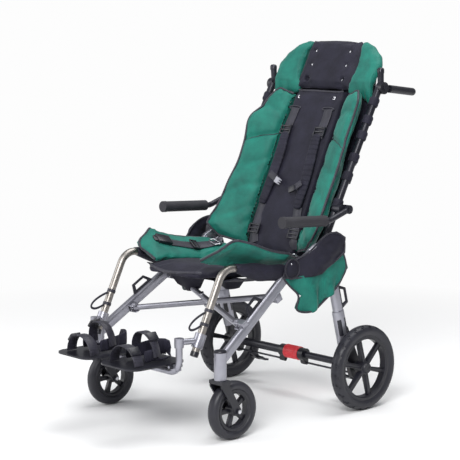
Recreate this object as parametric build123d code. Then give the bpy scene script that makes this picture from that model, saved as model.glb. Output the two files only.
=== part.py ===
from build123d import *
import math
import os

# Special needs stroller, width-folding, in millimetres.
# +Z is up, the front is towards -Y, +X is the occupant's left side.
# Left-side pieces are drawn once and mirrored for the right side.

# Clearances
run_gap = 0.05
slide_gap = 0.3
soft_gap = 0.4

# Rear wheels and axle
rear_wheel_d = 292.0
rear_tyre_w = 45.0
rear_rim_d = 222.0
rear_rim_w = 34.0
rear_spokes = 6
rear_spoke_w = 17.0
rear_wheel_x = 336.0
rear_axle_y = 298.3
axle_d = 12.0
hub_d = 46.0
hub_cap_out = 24.0

# Casters
caster_d = 190.0
caster_tyre_w = 40.0
caster_rim_d = 132.0
caster_rim_w = 30.0
caster_spokes = 5
caster_spoke_w = 15.0
caster_x = 313.0
caster_y = -336.5
caster_trail = 50.0
fork_leg_t = 6.0
fork_tyre_gap = 4.0
fork_bolt_d = 8.0
stem_d = 16.0
housing_d = 40.0
crown_h = 11.4
crown_lap = 2.0
swivel_gap = 0.6
housing_bottom = caster_d - crown_lap + crown_h + swivel_gap
housing_h = 90.0

# Side frame tubes
leg_tall = 38.0
leg_wide = 25.0
leg_wall = 2.0
leg_low_z = housing_bottom + 59.0
leg_bend_x = 264.0
leg_bend_y = 0.0
leg_bend_z = 489.0
elbow_x = 263.0
elbow_y = 174.0
elbow_z = 574.0
leg_bend_r = 150.0
elbow_pin_d = 12.0
elbow_lug_d = 38.0
elbow_lug_w = 22.0
rear_leg_x = 290.5
rear_leg_top_y = 163.0
rear_leg_top_z = 566.0
rear_leg_low_y = 240.0
rear_leg_low_z = 264.0

# Seat rails, leg hangers and foot supports
rail_d = 30.0
hanger_d = 25.4
rail_back_x = 256.0
rail_back_y = 10.0
rail_back_z = 505.0
hanger_x = 250.0
hanger_top_y = -266.0
hanger_top_z = 542.0
hanger_low_y = -391.5
hanger_low_z = 275.0
hanger_bend_r = 58.0
rail_len = 175.0
foot_collar_d = 37.0
foot_collar_len = 46.0
foot_collar_at = 50.0
foot_arm_d = 22.0
foot_arm_x = 232.0
foot_arm_y = -425.0
foot_arm_stagger = 12.0
foot_arm_top = 336.0
foot_arm_z = 223.0
foot_arm_end = 45.0
foot_arm_bend_r = 42.0
plate_in = 22.0
plate_out = 205.0
plate_front = -604.0
plate_back = -374.0
plate_z = 246.0
plate_t = 5.0
plate_hinge_x = 212.0
plate_hinge_d = 8.0
plate_hinge_z = 243.0
plate_lug_half = 12.0

# Cross brace: crossing point, slope of its plane and half lengths
brace_d = 20.0
brace_y = -128.5
brace_z = 391.0
brace_slope = 27.0
brace_angle = 20.2
brace_low = 283.0
brace_high = 253.0
brace_apart = 22.0
brace_bolt_d = 8.0
clevis_t = 3.0
clevis_len = 34.0
clevis_w = 26.0
clevis_room = 6.5

# Rear crossbar, lock and brake
bar_outer_d = 25.4
bar_inner_d = 22.2
bar_overlap = 60.0
lock_half = 60.0
lock_collar_d = 44.0
lock_core_d = 36.0
lock_collar_w = 24.0
sleeve_d = 48.0
brake_rod_d = 7.0
brake_rod_drop = 30.0
brake_rod_side = 6.0
pedal_x = 214.0
pedal_w = 70.0

# Back tubes, push handles and armrests
back_tube_d = 25.4
back_tube_wall = 2.0
back_tube_lean = 27.5
handle_hub_d = 42.0
handle_hub_w = 12.0
handle_y = 452.0
handle_z = 1091.0
handle_pin_d = 8.0
grip_d = 27.0
grip_len = 162.0
grip_fall = 6.5
armrest_x = 301.0
armrest_pivot_y = 256.0
armrest_pivot_z = 690.0
armrest_d = 20.0
armrest_pad_d = 37.0
armrest_bend_y = 165.0
armrest_bend_z = 660.0
armrest_front_y = -52.5
armrest_front_z = 672.0
armrest_pin_d = 8.0

# Back and head upholstery, along a leaning plane
back_lean = 24.7
back_ref_y = 180.0
back_ref_z = 560.0
back_low = -40.0
back_high = 578.0
head_low = 582.0
head_high = 760.0
pad_half = 126.0
pad_t = 44.0
wing_t = 36.0
wing_out = 257.0
wing_rise = 64.0
head_t = 30.0
head_out = 246.0
head_wing_t = 32.0
sling_t = 6.0

# Seat upholstery
seat_half = 150.0
seat_pad_t = 30.0
flap_t = 18.0
flap_out = 283.0

axle_z = rear_wheel_d / 2
caster_axle_z = caster_d / 2
os.makedirs("parts", exist_ok=True)


def save(name, shape):
    export_step(shape, f"parts/{name}.step")


def save_pair(name, shape):
    save(f"{name}_left", shape)
    save(f"{name}_right", mirror(shape, about=Plane.YZ))


def rod(a, b, r):
    a, b = Vector(*a), Vector(*b)
    return extrude(Plane(origin=a, z_dir=b - a) * Circle(r), (b - a).length)


def ball(c, r):
    return Pos(*c) * Sphere(r)


def x_disc(x0, x1, y, z, r):
    return rod((x0, y, z), (x1, y, z), r)


def side_plate(sketch, x0, x1):
    return extrude(Plane.YZ.offset(x0) * sketch, x1 - x0)


def outline(points):
    return make_face(Polyline(*points, close=True))


def discs_hull(discs):
    edges = []
    for y, z, r in discs:
        edges += (Pos(y, z) * Circle(r)).edges()
    return make_hull(edges)


def box_span(x0, x1, y0, y1, z0, z1):
    return Pos((x0 + x1) / 2, (y0 + y1) / 2, (z0 + z1) / 2) * Box(x1 - x0, y1 - y0, z1 - z0)


def round_tube(points, d, bend):
    path = FilletPolyline(*points, radius=bend)
    start = Plane(origin=path @ 0, z_dir=path % 0)
    return sweep(start * Circle(d / 2), path=path)


def oval_tube(points, tall, wide, bend):
    path = FilletPolyline(*points, radius=bend) if len(points) > 2 else Line(*points)
    d = path % 0
    start = Plane(origin=path @ 0, x_dir=(0, -d.Z, d.Y), z_dir=d)
    return sweep(start * SlotOverall(tall, wide), path=path)


def unit(v):
    v = Vector(*v)
    return v / v.length


# Wheels: a rounded tyre on a spoked rim, turned about X
def tyre(d, w, rim_d, cx, cy, cz):
    depth = (d - rim_d) / 2
    mid = (d + rim_d) / 4
    section = Plane.XY * Pos(0, mid) * RectangleRounded(w, depth, min(w, depth) * 0.42)
    return Pos(cx, cy, cz) * revolve(section, axis=Axis.X)


def rim(rim_d, rim_w, spokes, spoke_w, hub_r, hub_in, hub_out, bore_r, bore_to, cx, cy, cz):
    ring_r = rim_d / 2
    ring_in = ring_r - 13
    ring = x_disc(-rim_w / 2, rim_w / 2, 0, 0, ring_r) - x_disc(-rim_w / 2, rim_w / 2, 0, 0, ring_in)
    hub = x_disc(hub_in, hub_out, 0, 0, hub_r)
    body = ring + hub
    for i in range(spokes):
        spoke = Pos(3, 0, (ring_in + 4) / 2) * Box(13, spoke_w, ring_in + 4)
        body += Rot(360 * i / spokes, 0, 0) * spoke
    body -= x_disc(hub_in, bore_to, 0, 0, bore_r)
    return Pos(cx, cy, cz) * body


save_pair("rear_tyre", tyre(rear_wheel_d, rear_tyre_w, rear_rim_d, rear_wheel_x, rear_axle_y, axle_z))
save_pair(
    "rear_rim",
    rim(rear_rim_d, rear_rim_w, rear_spokes, rear_spoke_w, hub_d / 2, -rear_tyre_w / 2, hub_cap_out,
        axle_d / 2 + run_gap, hub_cap_out - 6, rear_wheel_x, rear_axle_y, axle_z),
)
caster_wheel_y = caster_y + caster_trail
save_pair("caster_tyre", tyre(caster_d, caster_tyre_w, caster_rim_d, caster_x, caster_wheel_y, caster_axle_z))
save_pair(
    "caster_rim",
    rim(caster_rim_d, caster_rim_w, caster_spokes, caster_spoke_w, 17, -caster_tyre_w / 2, caster_tyre_w / 2,
        fork_bolt_d / 2 + run_gap, caster_tyre_w / 2, caster_x, caster_wheel_y, caster_axle_z),
)

# Caster fork: stem, crown, two raked legs and the axle bolt
leg_in = caster_tyre_w / 2 + fork_tyre_gap
leg_out = leg_in + fork_leg_t
crown_top = housing_bottom - swivel_gap
crown_bottom = crown_top - crown_h
crown = box_span(caster_x - leg_out, caster_x + leg_out, caster_y - 21, caster_y + 18, crown_bottom, crown_top)
fork_side = discs_hull([(caster_y - 4, crown_top - 16, 15), (caster_wheel_y, caster_axle_z, 13)])
fork = crown
for x0 in (caster_x - leg_out, caster_x + leg_in):
    fork += side_plate(fork_side, x0, x0 + fork_leg_t)
fork += rod((caster_x, caster_y, crown_bottom), (caster_x, caster_y, housing_bottom + housing_h - 8), stem_d / 2)
fork += x_disc(caster_x - leg_out - 5, caster_x + leg_out + 5, caster_wheel_y, caster_axle_z, fork_bolt_d / 2)
for x0 in (caster_x - leg_out - 5, caster_x + leg_out):
    fork += x_disc(x0, x0 + 5, caster_wheel_y, caster_axle_z, 9)
save_pair("caster_fork", fork)

# Front leg: oval tube from the caster housing up to the elbow
leg_low = (caster_x, caster_y, leg_low_z)
leg_bend = (leg_bend_x, leg_bend_y, leg_bend_z)
elbow = (elbow_x, elbow_y, elbow_z)
to_elbow = unit((elbow_x - leg_bend_x, elbow_y - leg_bend_y, elbow_z - leg_bend_z))
leg_end = Vector(*elbow) - to_elbow * (elbow_lug_d / 2 + 6)
leg_points = [leg_low, leg_bend, tuple(leg_end)]
leg_outer = oval_tube(leg_points, leg_tall, leg_wide, leg_bend_r)
leg_inner = oval_tube(leg_points, leg_tall - 2 * leg_wall, leg_wide - 2 * leg_wall, leg_bend_r)
housing_top = housing_bottom + housing_h
housing_out = rod((caster_x, caster_y, housing_bottom), (caster_x, caster_y, housing_top), housing_d / 2)
stem_hole = rod(
    (caster_x, caster_y, housing_bottom - 1), (caster_x, caster_y, housing_top - 6), stem_d / 2 + run_gap
)
front_leg = (leg_outer - leg_inner - housing_out) + (housing_out - stem_hole)
front_leg += rod((caster_x, caster_y, housing_top), (caster_x, caster_y, housing_top + 5), housing_d / 2 - 3)
front_leg_body = leg_outer + housing_out
save_pair("front_leg", front_leg)

# Rear leg: oval tube from the elbow down to the axle bracket
rear_points = [(rear_leg_x, rear_leg_top_y, rear_leg_top_z), (rear_leg_x, rear_leg_low_y, rear_leg_low_z)]
rear_outer = oval_tube(rear_points, leg_tall, leg_wide, 0)
rear_inner = oval_tube(rear_points, leg_tall - 2 * leg_wall, leg_wide - 2 * leg_wall, 0)
rear_dir = unit((0, rear_leg_top_y - rear_leg_low_y, rear_leg_top_z - rear_leg_low_z))

# Elbow casting: joins both legs and carries the back tube's pin
rear_in = rear_leg_x - leg_wide / 2
rear_out = rear_leg_x + leg_wide / 2
cheek = discs_hull([(elbow_y, elbow_z, 25), (rear_leg_top_y + 14, rear_leg_top_z - 32, 24)])
elbow_cast = side_plate(cheek, rear_in - 1.2, rear_out + 3)
sleeve_from = leg_end - to_elbow * 44
elbow_cast += oval_tube([tuple(sleeve_from), tuple(leg_end)], leg_tall + 8, leg_wide + 8, 0)
bridge = discs_hull([(sleeve_from.Y + 22, sleeve_from.Z + 10, 14), (elbow_y + 6, elbow_z - 34, 14)])
elbow_cast += side_plate(bridge, elbow_x, rear_in)
elbow_cast = elbow_cast - leg_outer - rear_outer
lug_x0 = elbow_x - elbow_lug_w / 2
lug_x1 = elbow_x + elbow_lug_w / 2
elbow_cast -= x_disc(lug_x0 - 8, rear_in - 1.2, elbow_y, elbow_z, elbow_lug_d / 2 + 3)
elbow_cast += x_disc(lug_x0 - 3, rear_in, elbow_y, elbow_z, elbow_pin_d / 2)
elbow_cast += x_disc(lug_x0 - 6, lug_x0 - slide_gap, elbow_y, elbow_z, elbow_pin_d / 2 + 4)
save_pair("rear_leg", elbow_cast + (rear_outer - rear_inner))

# Axle bracket: socket on the rear leg's foot, axle stub and brake rod boss
rod_z = axle_z - brake_rod_drop
socket_up = Vector(*rear_points[1]) + rear_dir * 58
bracket_x0 = rear_leg_x - 9
bracket_x1 = rear_leg_x + 9


def axle_bracket(rod_y):
    socket = oval_tube([tuple(socket_up), rear_points[1]], leg_tall + 8, leg_wide + 8, 0)
    arm = discs_hull(
        [
            (rear_leg_low_y + 4, rear_leg_low_z + 10, 20),
            (rear_axle_y, axle_z, 26),
            (rear_axle_y + brake_rod_side, rod_z, 10),
            (rear_axle_y - brake_rod_side, rod_z, 10),
        ]
    )
    body = socket + side_plate(arm, bracket_x0, bracket_x1) - rear_outer
    body -= x_disc(bracket_x0, bracket_x0 + 12, rod_y, rod_z, brake_rod_d / 2 + run_gap)
    wheel_in = rear_wheel_x - rear_tyre_w / 2
    body += x_disc(bracket_x1, wheel_in - slide_gap, rear_axle_y, axle_z, hub_d / 2 - 8)
    body += x_disc(bracket_x1, rear_wheel_x + hub_cap_out - 8, rear_axle_y, axle_z, axle_d / 2)
    return body


left_rod_y = rear_axle_y + brake_rod_side
right_rod_y = rear_axle_y - brake_rod_side
save("axle_bracket_left", axle_bracket(left_rod_y))
save("axle_bracket_right", mirror(axle_bracket(right_rod_y), about=Plane.YZ))

# Telescoping rear crossbar: the left tube slides inside the right one
bar_inner = x_disc(-bar_overlap, bracket_x0, rear_axle_y, axle_z, bar_inner_d / 2)
bar_inner -= x_disc(-bar_overlap, bracket_x0, rear_axle_y, axle_z, bar_inner_d / 2 - 2)
save("crossbar_left", bar_inner)
bar_bore = bar_inner_d / 2 + slide_gap
bar_outer = x_disc(-bracket_x0, 0, rear_axle_y, axle_z, bar_outer_d / 2)
bar_outer -= x_disc(-bracket_x0, 0, rear_axle_y, axle_z, bar_bore)
save("crossbar_right", bar_outer)

# Crossbar lock: collared core on the right tube, and the twist sleeve on it
lock = x_disc(-lock_half, lock_half, rear_axle_y, axle_z, lock_core_d / 2)
for x0 in (-lock_half, lock_half - lock_collar_w):
    lock += x_disc(x0, x0 + lock_collar_w, rear_axle_y, axle_z, lock_collar_d / 2)
boss_r = 2 * brake_rod_side - brake_rod_d / 2 - 1
lock += side_plate(
    discs_hull([(rear_axle_y, axle_z, 12), (right_rod_y, rod_z, boss_r)]), -lock_half, -lock_half + lock_collar_w
)
lock += side_plate(
    discs_hull([(rear_axle_y, axle_z, 12), (left_rod_y, rod_z, boss_r)]), lock_half - lock_collar_w, lock_half
)
rod_pass = brake_rod_d / 2 + slide_gap
lock -= x_disc(-lock_half, -lock_half + lock_collar_w, right_rod_y, rod_z, rod_pass)
lock -= x_disc(lock_half - lock_collar_w, lock_half, left_rod_y, rod_z, rod_pass)
lock -= x_disc(-lock_half, lock_half, left_rod_y, rod_z, rod_pass)
lock -= x_disc(-lock_half, 0, rear_axle_y, axle_z, bar_outer_d / 2)
lock -= x_disc(0, lock_half, rear_axle_y, axle_z, bar_bore)
save("lock_core", lock)
sleeve_half = lock_half - lock_collar_w - slide_gap
sleeve = x_disc(-sleeve_half, sleeve_half, rear_axle_y, axle_z, sleeve_d / 2)
thumb = discs_hull([(rear_axle_y, axle_z, 10), (rear_axle_y + sleeve_d / 2 + 1, axle_z + 6, 6)])
sleeve += side_plate(thumb, -sleeve_half + 8, sleeve_half - 8)
sleeve -= x_disc(-sleeve_half, sleeve_half, rear_axle_y, axle_z, lock_core_d / 2 + run_gap)
save("lock_sleeve", sleeve)


# Brake: a rod that turns in the axle bracket, with a foot pedal on it
def brake(rod_y, inner_end):
    body = x_disc(inner_end, bracket_x0 + 11, rod_y, rod_z, brake_rod_d / 2)
    arm = discs_hull([(rod_y, rod_z, 9), (rod_y + 32, rod_z - 28, 6)])
    body += side_plate(arm, pedal_x - 7, pedal_x + 7)
    pad = outline(
        [
            (rod_y + 20, rod_z - 24),
            (rod_y + 34, rod_z - 34),
            (rod_y + 52, rod_z - 36),
            (rod_y + 52, rod_z - 30),
            (rod_y + 36, rod_z - 27),
            (rod_y + 24, rod_z - 18),
        ]
    )
    return body + side_plate(pad, pedal_x - pedal_w / 2, pedal_x + pedal_w / 2)


save("brake_pedal_left", brake(left_rod_y, 30))
save("brake_pedal_right", mirror(brake(right_rod_y, lock_half - lock_collar_w + 6), about=Plane.YZ))

# Cross brace: two bars that turn on one bolt, guided by clevis plates on the legs
plane_tilt = math.radians(brace_slope)
leg_run = Vector(0, math.cos(plane_tilt), math.sin(plane_tilt))
leg_up = Vector(0, -leg_run.Z, leg_run.Y)
cross = Vector(0, brace_y, brace_z)
slope = math.radians(brace_angle)


def in_plane(x, h, n):
    return cross + Vector(x, 0, 0) + leg_run * h + leg_up * n


def brace_bar(side, lift):
    low = in_plane(side * brace_low * math.cos(slope), -brace_low * math.sin(slope), lift)
    high = in_plane(-side * brace_high * math.cos(slope), brace_high * math.sin(slope), lift)
    body = rod(tuple(low), tuple(high), brace_d / 2) + ball(tuple(low), brace_d / 2)
    body += ball(tuple(high), brace_d / 2)
    a = in_plane(0, 0, lift - brace_d)
    b = in_plane(0, 0, lift + brace_d)
    return body - rod(tuple(a), tuple(b), brace_bolt_d / 2 + run_gap)


save("brace_bar_a", brace_bar(-1, -brace_apart / 2))
save("brace_bar_b", brace_bar(1, brace_apart / 2))
bolt_half = brace_apart / 2 + brace_d / 2
bolt = rod(tuple(in_plane(0, 0, -bolt_half - 6)), tuple(in_plane(0, 0, bolt_half + 6)), brace_bolt_d / 2)
for n in (-bolt_half - 6, bolt_half + slide_gap):
    bolt += rod(tuple(in_plane(0, 0, n)), tuple(in_plane(0, 0, n + 5.7)), 8)
spacer = brace_apart / 2 - brace_d / 2 - slide_gap
bolt += rod(tuple(in_plane(0, 0, -spacer)), tuple(in_plane(0, 0, spacer)), 9)
save("brace_bolt", bolt)


def clevis(reach, h, lift):
    tip = reach * math.cos(slope) + brace_d / 2
    at_bar = in_plane(tip, h, 0)
    leg_z = leg_low_z + (at_bar.Y - caster_y) * (leg_bend_z - leg_low_z) / (leg_bend_y - caster_y)
    to_leg = (leg_z - at_bar.Z) * leg_up.Z
    ear_low = lift - brace_d / 2 - 2 * slide_gap - clevis_t
    ear_high = lift + brace_d / 2 + 2 * slide_gap
    ear_x = tip + clevis_len / 2 - 22
    body = None
    for n in (ear_low, ear_high):
        at = Plane(origin=in_plane(ear_x, h, n), x_dir=(1, 0, 0), z_dir=leg_up)
        ear = extrude(at * RectangleRounded(clevis_len, clevis_w, 8), clevis_t)
        body = ear if body is None else body + ear
    for n in (ear_low - 4, ear_high + clevis_t):
        body += rod(tuple(in_plane(tip - 8, h, n)), tuple(in_plane(tip - 8, h, n + 4)), 6.5)
    web_low = min(ear_low, to_leg)
    web_high = max(ear_high + clevis_t, to_leg)
    at = Plane(origin=in_plane(tip + clevis_room + 12, h, web_low), x_dir=(1, 0, 0), z_dir=leg_up)
    body += extrude(at * Rectangle(24, clevis_w), web_high - web_low)
    return max((body - front_leg_body).solids(), key=lambda piece: piece.volume)


low_h = -brace_low * math.sin(slope)
high_h = brace_high * math.sin(slope)
clevis_left = clevis(brace_low, low_h, brace_apart / 2) + clevis(brace_high, high_h, -brace_apart / 2)
clevis_right = clevis(brace_low, low_h, -brace_apart / 2) + clevis(brace_high, high_h, brace_apart / 2)

# Seat rail and the chrome leg hanger that plugs into its front
hanger_top = (hanger_x, hanger_top_y, hanger_top_z)
hanger_low = (hanger_x, hanger_low_y, hanger_low_z)
rail_back = Vector(rail_back_x, rail_back_y, rail_back_z)
rail_dir = unit((hanger_x - rail_back_x, hanger_top_y - rail_back_y, hanger_top_z - rail_back_z))
rail_front = rail_back + rail_dir * rail_len
hanger_from = rail_front - rail_dir * 60
hanger = round_tube([tuple(hanger_from), hanger_top, hanger_low], hanger_d, hanger_bend_r)
hanger_bore = round_tube([tuple(hanger_from), hanger_top, hanger_low], hanger_d - 4, hanger_bend_r)
save_pair("leg_hanger", hanger - hanger_bore)
rail = rod(tuple(rail_back), tuple(rail_front), rail_d / 2)
rail -= rod(tuple(hanger_from), tuple(rail_front), hanger_d / 2)
save_pair("seat_rail", rail - leg_outer)

# Foot support: collar on the hanger, stub, and the L-shaped tube under the plate
hanger_up = unit((0, hanger_top_y - hanger_low_y, hanger_top_z - hanger_low_z))
collar_mid = Vector(*hanger_low) + hanger_up * foot_collar_at


def foot_arm(stagger):
    y = foot_arm_y + stagger
    a = collar_mid - hanger_up * (foot_collar_len / 2)
    b = collar_mid + hanger_up * (foot_collar_len / 2)
    body = rod(tuple(a), tuple(b), foot_collar_d / 2)
    stub_z = collar_mid.Z + 2
    body += rod((hanger_x, collar_mid.Y, stub_z), (foot_arm_x, y, stub_z), 10)
    tube = [(foot_arm_x, y, foot_arm_top), (foot_arm_x, y, foot_arm_z), (foot_arm_end, y, foot_arm_z)]
    body += round_tube(tube, foot_arm_d, foot_arm_bend_r)
    body += rod((foot_arm_x, y, stub_z - 17), (foot_arm_x, y, stub_z + 13), foot_arm_d / 2 + 4)
    hub_y = plate_lug_half
    body += box_span(plate_hinge_x - 5, foot_arm_x - 4, y - hub_y, y + hub_y, foot_arm_z + 6, plate_hinge_z + 5)
    body += rod(
        (plate_hinge_x, y - hub_y - 14, plate_hinge_z), (plate_hinge_x, y + hub_y + 14, plate_hinge_z),
        plate_hinge_d / 2,
    )
    long_a = collar_mid - hanger_up * 200
    long_b = collar_mid + hanger_up * 120
    return body - rod(tuple(long_a), tuple(long_b), hanger_d / 2 + run_gap)


def foot_plate(stagger):
    y = foot_arm_y + stagger
    corner = (plate_out - plate_in) * 0.22
    face = Pos((plate_in + plate_out) / 2, (plate_front + plate_back) / 2) * RectangleRounded(
        plate_out - plate_in, plate_back - plate_front, corner
    )
    body = extrude(Plane.XY.offset(plate_z) * face, plate_t)
    for y0 in (y - plate_lug_half - 13, y + plate_lug_half + slide_gap):
        y1 = y0 + 13 - slide_gap
        body += rod((plate_hinge_x, y0, plate_hinge_z), (plate_hinge_x, y1, plate_hinge_z), plate_hinge_d / 2 + 3.5)
        body += box_span(plate_out - 14, plate_hinge_x, y0, y1, plate_z - 4, plate_z + plate_t)
    return body - rod(
        (plate_hinge_x, y - 60, plate_hinge_z), (plate_hinge_x, y + 60, plate_hinge_z), plate_hinge_d / 2 + run_gap
    )


save("foot_arm_left", foot_arm(-foot_arm_stagger))
save("foot_arm_right", mirror(foot_arm(foot_arm_stagger), about=Plane.YZ))
save("footplate_left", foot_plate(-foot_arm_stagger))
save("footplate_right", mirror(foot_plate(foot_arm_stagger), about=Plane.YZ))

# Foot straps: a heel cup that wraps the back of the plate, and a toe band over its front
plate_top = plate_z + plate_t
heel_t = 7.0
heel_h = 68.0
heel_in = plate_in + 16
heel_out = plate_out - 16
heel_back = plate_back - 4
heel_front = heel_back - 92
heel_r = 44.0
heel_mid = (heel_in + heel_out) / 2
heel_w = heel_out - heel_in
heel_d = heel_back - heel_front
cup = Pos(heel_mid, heel_front) * RectangleRounded(heel_w, 2 * heel_d, heel_r)
cup -= Pos(heel_mid, heel_front) * RectangleRounded(heel_w - 2 * heel_t, 2 * heel_d - 2 * heel_t, heel_r - heel_t)
cup -= Pos(heel_mid, heel_front - heel_d) * Rectangle(heel_w + 2, 2 * heel_d)
heel_cup = extrude(Plane.XY.offset(plate_top + soft_gap) * cup, heel_h)
toe_y = plate_front + 62
toe_h = 50.0
toe_w = 46.0
arch = make_face(
    ThreePointArc((heel_in, 0), (heel_mid, toe_h), (heel_out, 0)) + Line((heel_out, 0), (heel_in, 0))
)
arch_in = make_face(
    ThreePointArc((heel_in + 5, 0), (heel_mid, toe_h - 5), (heel_out - 5, 0)) + Line((heel_out - 5, 0), (heel_in + 5, 0))
)
toe_at = Plane(origin=(0, toe_y + toe_w / 2, plate_top + soft_gap), x_dir=(1, 0, 0), z_dir=(0, -1, 0))
toe_band = extrude(toe_at * (arch - arch_in), toe_w)
save_pair("foot_straps", heel_cup + toe_band)

# Tie-down loops, front on the front leg and rear on the rear leg
loop_len = 88.0
loop_high = 34.0
loop_bar = 7.0
loop_t = 8.0


def tie_loop(origin, along, away, seat):
    face = make_face(
        Polyline(
            (-loop_len / 2, 0), (loop_len / 2, 0), (loop_len / 2 - 22, loop_high), (-loop_len / 2 + 12, loop_high),
            close=True,
        )
    )
    hole = make_face(
        Polyline(
            (-loop_len / 2 + 15, loop_bar), (loop_len / 2 - 17, loop_bar),
            (loop_len / 2 - 28, loop_high - loop_bar), (-loop_len / 2 + 20, loop_high - loop_bar),
            close=True,
        )
    )
    at = Plane(origin=Vector(*origin) + away * seat, x_dir=along, z_dir=along.cross(away))
    return extrude(at * (face - hole), loop_t / 2, both=True)


front_loop_y = -150.0
loop_share = (front_loop_y - caster_y) / (leg_bend_y - caster_y)
front_loop_at = (
    caster_x + (leg_bend_x - caster_x) * loop_share,
    front_loop_y,
    leg_low_z + (leg_bend_z - leg_low_z) * loop_share,
)
full_run = unit((leg_bend_x - caster_x, leg_bend_y - caster_y, leg_bend_z - leg_low_z))
full_up = unit((0, -full_run.Z, full_run.Y))
rear_loop_z = 389.0
rear_share = (rear_loop_z - rear_leg_low_z) / (rear_leg_top_z - rear_leg_low_z)
rear_loop_at = (rear_leg_x, rear_leg_low_y + (rear_leg_top_y - rear_leg_low_y) * rear_share, rear_loop_z)
rear_away = unit((0, rear_dir.Z, -rear_dir.Y))
loops = tie_loop(front_loop_at, full_run, full_up, leg_tall / 2 - 1) - leg_outer
loops += tie_loop(rear_loop_at, rear_dir, rear_away, leg_tall / 2 - 1) - rear_outer
save("leg_fittings_left", loops + clevis_left)
save("leg_fittings_right", mirror(loops + clevis_right, about=Plane.YZ))

# Back tube with its elbow lug, armrest bracket and handle knuckle
lean = math.radians(back_tube_lean)
tube_dir = Vector(0, math.sin(lean), math.cos(lean))
tube_low = Vector(*elbow)
tube_run = (handle_z - elbow_z) / math.cos(lean)
tube_high = tube_low + tube_dir * tube_run
back_tube = rod(tuple(tube_low), tuple(tube_high), back_tube_d / 2)
back_tube -= rod(tuple(tube_low + tube_dir * 24), tuple(tube_high - tube_dir * 12), back_tube_d / 2 - back_tube_wall)
back_tube -= x_disc(lug_x0 - 10, lug_x0, elbow_y, elbow_z, elbow_lug_d / 2)
back_tube += x_disc(lug_x0, lug_x1, elbow_y, elbow_z, elbow_lug_d / 2)
knuckle_x1 = elbow_x + back_tube_d / 2 - handle_hub_w / 2
knuckle_x0 = knuckle_x1 - handle_hub_w
back_tube += x_disc(knuckle_x0, knuckle_x1, handle_y, handle_z, handle_hub_d / 2)
hub_x0 = knuckle_x1 + slide_gap
hub_x1 = hub_x0 + handle_hub_w
back_tube -= x_disc(hub_x0 - slide_gap, hub_x1 + 20, handle_y, handle_z, handle_hub_d / 2 + 1.5)
back_tube += x_disc(knuckle_x0, hub_x1 + 3, handle_y, handle_z, handle_pin_d / 2)
back_tube += x_disc(hub_x1 + slide_gap, hub_x1 + 4, handle_y, handle_z, handle_pin_d / 2 + 4)
arm_share = (armrest_pivot_z - elbow_z) / math.cos(lean)
arm_tube_at = tube_low + tube_dir * arm_share
arm_eye_x0 = armrest_x - 7
bracket = discs_hull([(arm_tube_at.Y, arm_tube_at.Z, 18), (armrest_pivot_y, armrest_pivot_z, 15)])
back_tube += side_plate(bracket, elbow_x - 4, arm_eye_x0 - slide_gap) - rod(
    tuple(tube_low + tube_dir * 24), tuple(tube_high - tube_dir * 12), back_tube_d / 2 - back_tube_wall
)
back_tube += x_disc(arm_eye_x0 - 8, armrest_x + 9, armrest_pivot_y, armrest_pivot_z, armrest_pin_d / 2)
back_tube += x_disc(armrest_x + 7 + slide_gap, armrest_x + 11, armrest_pivot_y, armrest_pivot_z, 8)
back_tube -= x_disc(lug_x0 - 3, lug_x1 + 3, elbow_y, elbow_z, elbow_pin_d / 2 + run_gap)
save_pair("back_tube", back_tube)

# Push handle: hub on the knuckle pin and a round-ended grip
grip_x = (hub_x0 + hub_x1) / 2
fall = math.radians(grip_fall)
grip_dir = Vector(0, math.cos(fall), -math.sin(fall))
hub_at = Vector(grip_x, handle_y, handle_z)
grip_from = hub_at + grip_dir * (handle_hub_d / 2 + 8)
grip_to = hub_at + grip_dir * grip_len
handle = x_disc(hub_x0, hub_x1, handle_y, handle_z, handle_hub_d / 2)
handle += rod(tuple(hub_at), tuple(grip_from), handle_hub_w / 2 - 1)
grip = rod(tuple(grip_from), tuple(grip_to), grip_d / 2)
grip_end = grip.edges().filter_by(GeomType.CIRCLE).sort_by_distance(tuple(grip_to))[0]
handle += fillet(grip_end, grip_d / 2 - 1)
handle -= x_disc(hub_x0 - 1, hub_x1 + 1, handle_y, handle_z, handle_pin_d / 2 + run_gap)
save_pair("push_handle", handle)

# Armrest: bent tube with an eye on the bracket pin, and a foam pad
arm_pivot = (armrest_x, armrest_pivot_y, armrest_pivot_z)
arm_bend = (armrest_x, armrest_bend_y, armrest_bend_z)
arm_front = (armrest_x, armrest_front_y, armrest_front_z)
arm_tube = round_tube([arm_pivot, arm_bend, arm_front], armrest_d, 70)
arm_tube += x_disc(arm_eye_x0, armrest_x + 7, armrest_pivot_y, armrest_pivot_z, 15)
arm_tube -= x_disc(arm_eye_x0 - 20, arm_eye_x0, armrest_pivot_y, armrest_pivot_z, 40)
arm_tube -= x_disc(armrest_x + 7, armrest_x + 30, armrest_pivot_y, armrest_pivot_z, 40)
arm_tube -= x_disc(arm_eye_x0 - 1, armrest_x + 8, armrest_pivot_y, armrest_pivot_z, armrest_pin_d / 2 + run_gap)
save_pair("armrest_tube", arm_tube)
arm_dir = unit((0, armrest_front_y - armrest_bend_y, armrest_front_z - armrest_bend_z))
pad_end = Vector(*arm_front) - arm_dir * 10
pad_start = Vector(*arm_bend) + arm_dir * 22
arm_pad = rod(tuple(pad_start), tuple(pad_end), armrest_pad_d / 2)
arm_pad += rod(tuple(pad_end), tuple(pad_end + arm_dir * 14), armrest_pad_d / 2 + 1)
arm_pad -= rod(tuple(pad_start - arm_dir), tuple(arm_front), armrest_d / 2)
save_pair("armrest_pad", arm_pad)


# Upholstery on the back: sections across a leaning plane, lofted along it
back_rad = math.radians(back_lean)
back_up = Vector(0, math.sin(back_rad), math.cos(back_rad))
back_out = Vector(0, -math.cos(back_rad), math.sin(back_rad))
back_ref = Vector(0, back_ref_y, back_ref_z)


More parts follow.
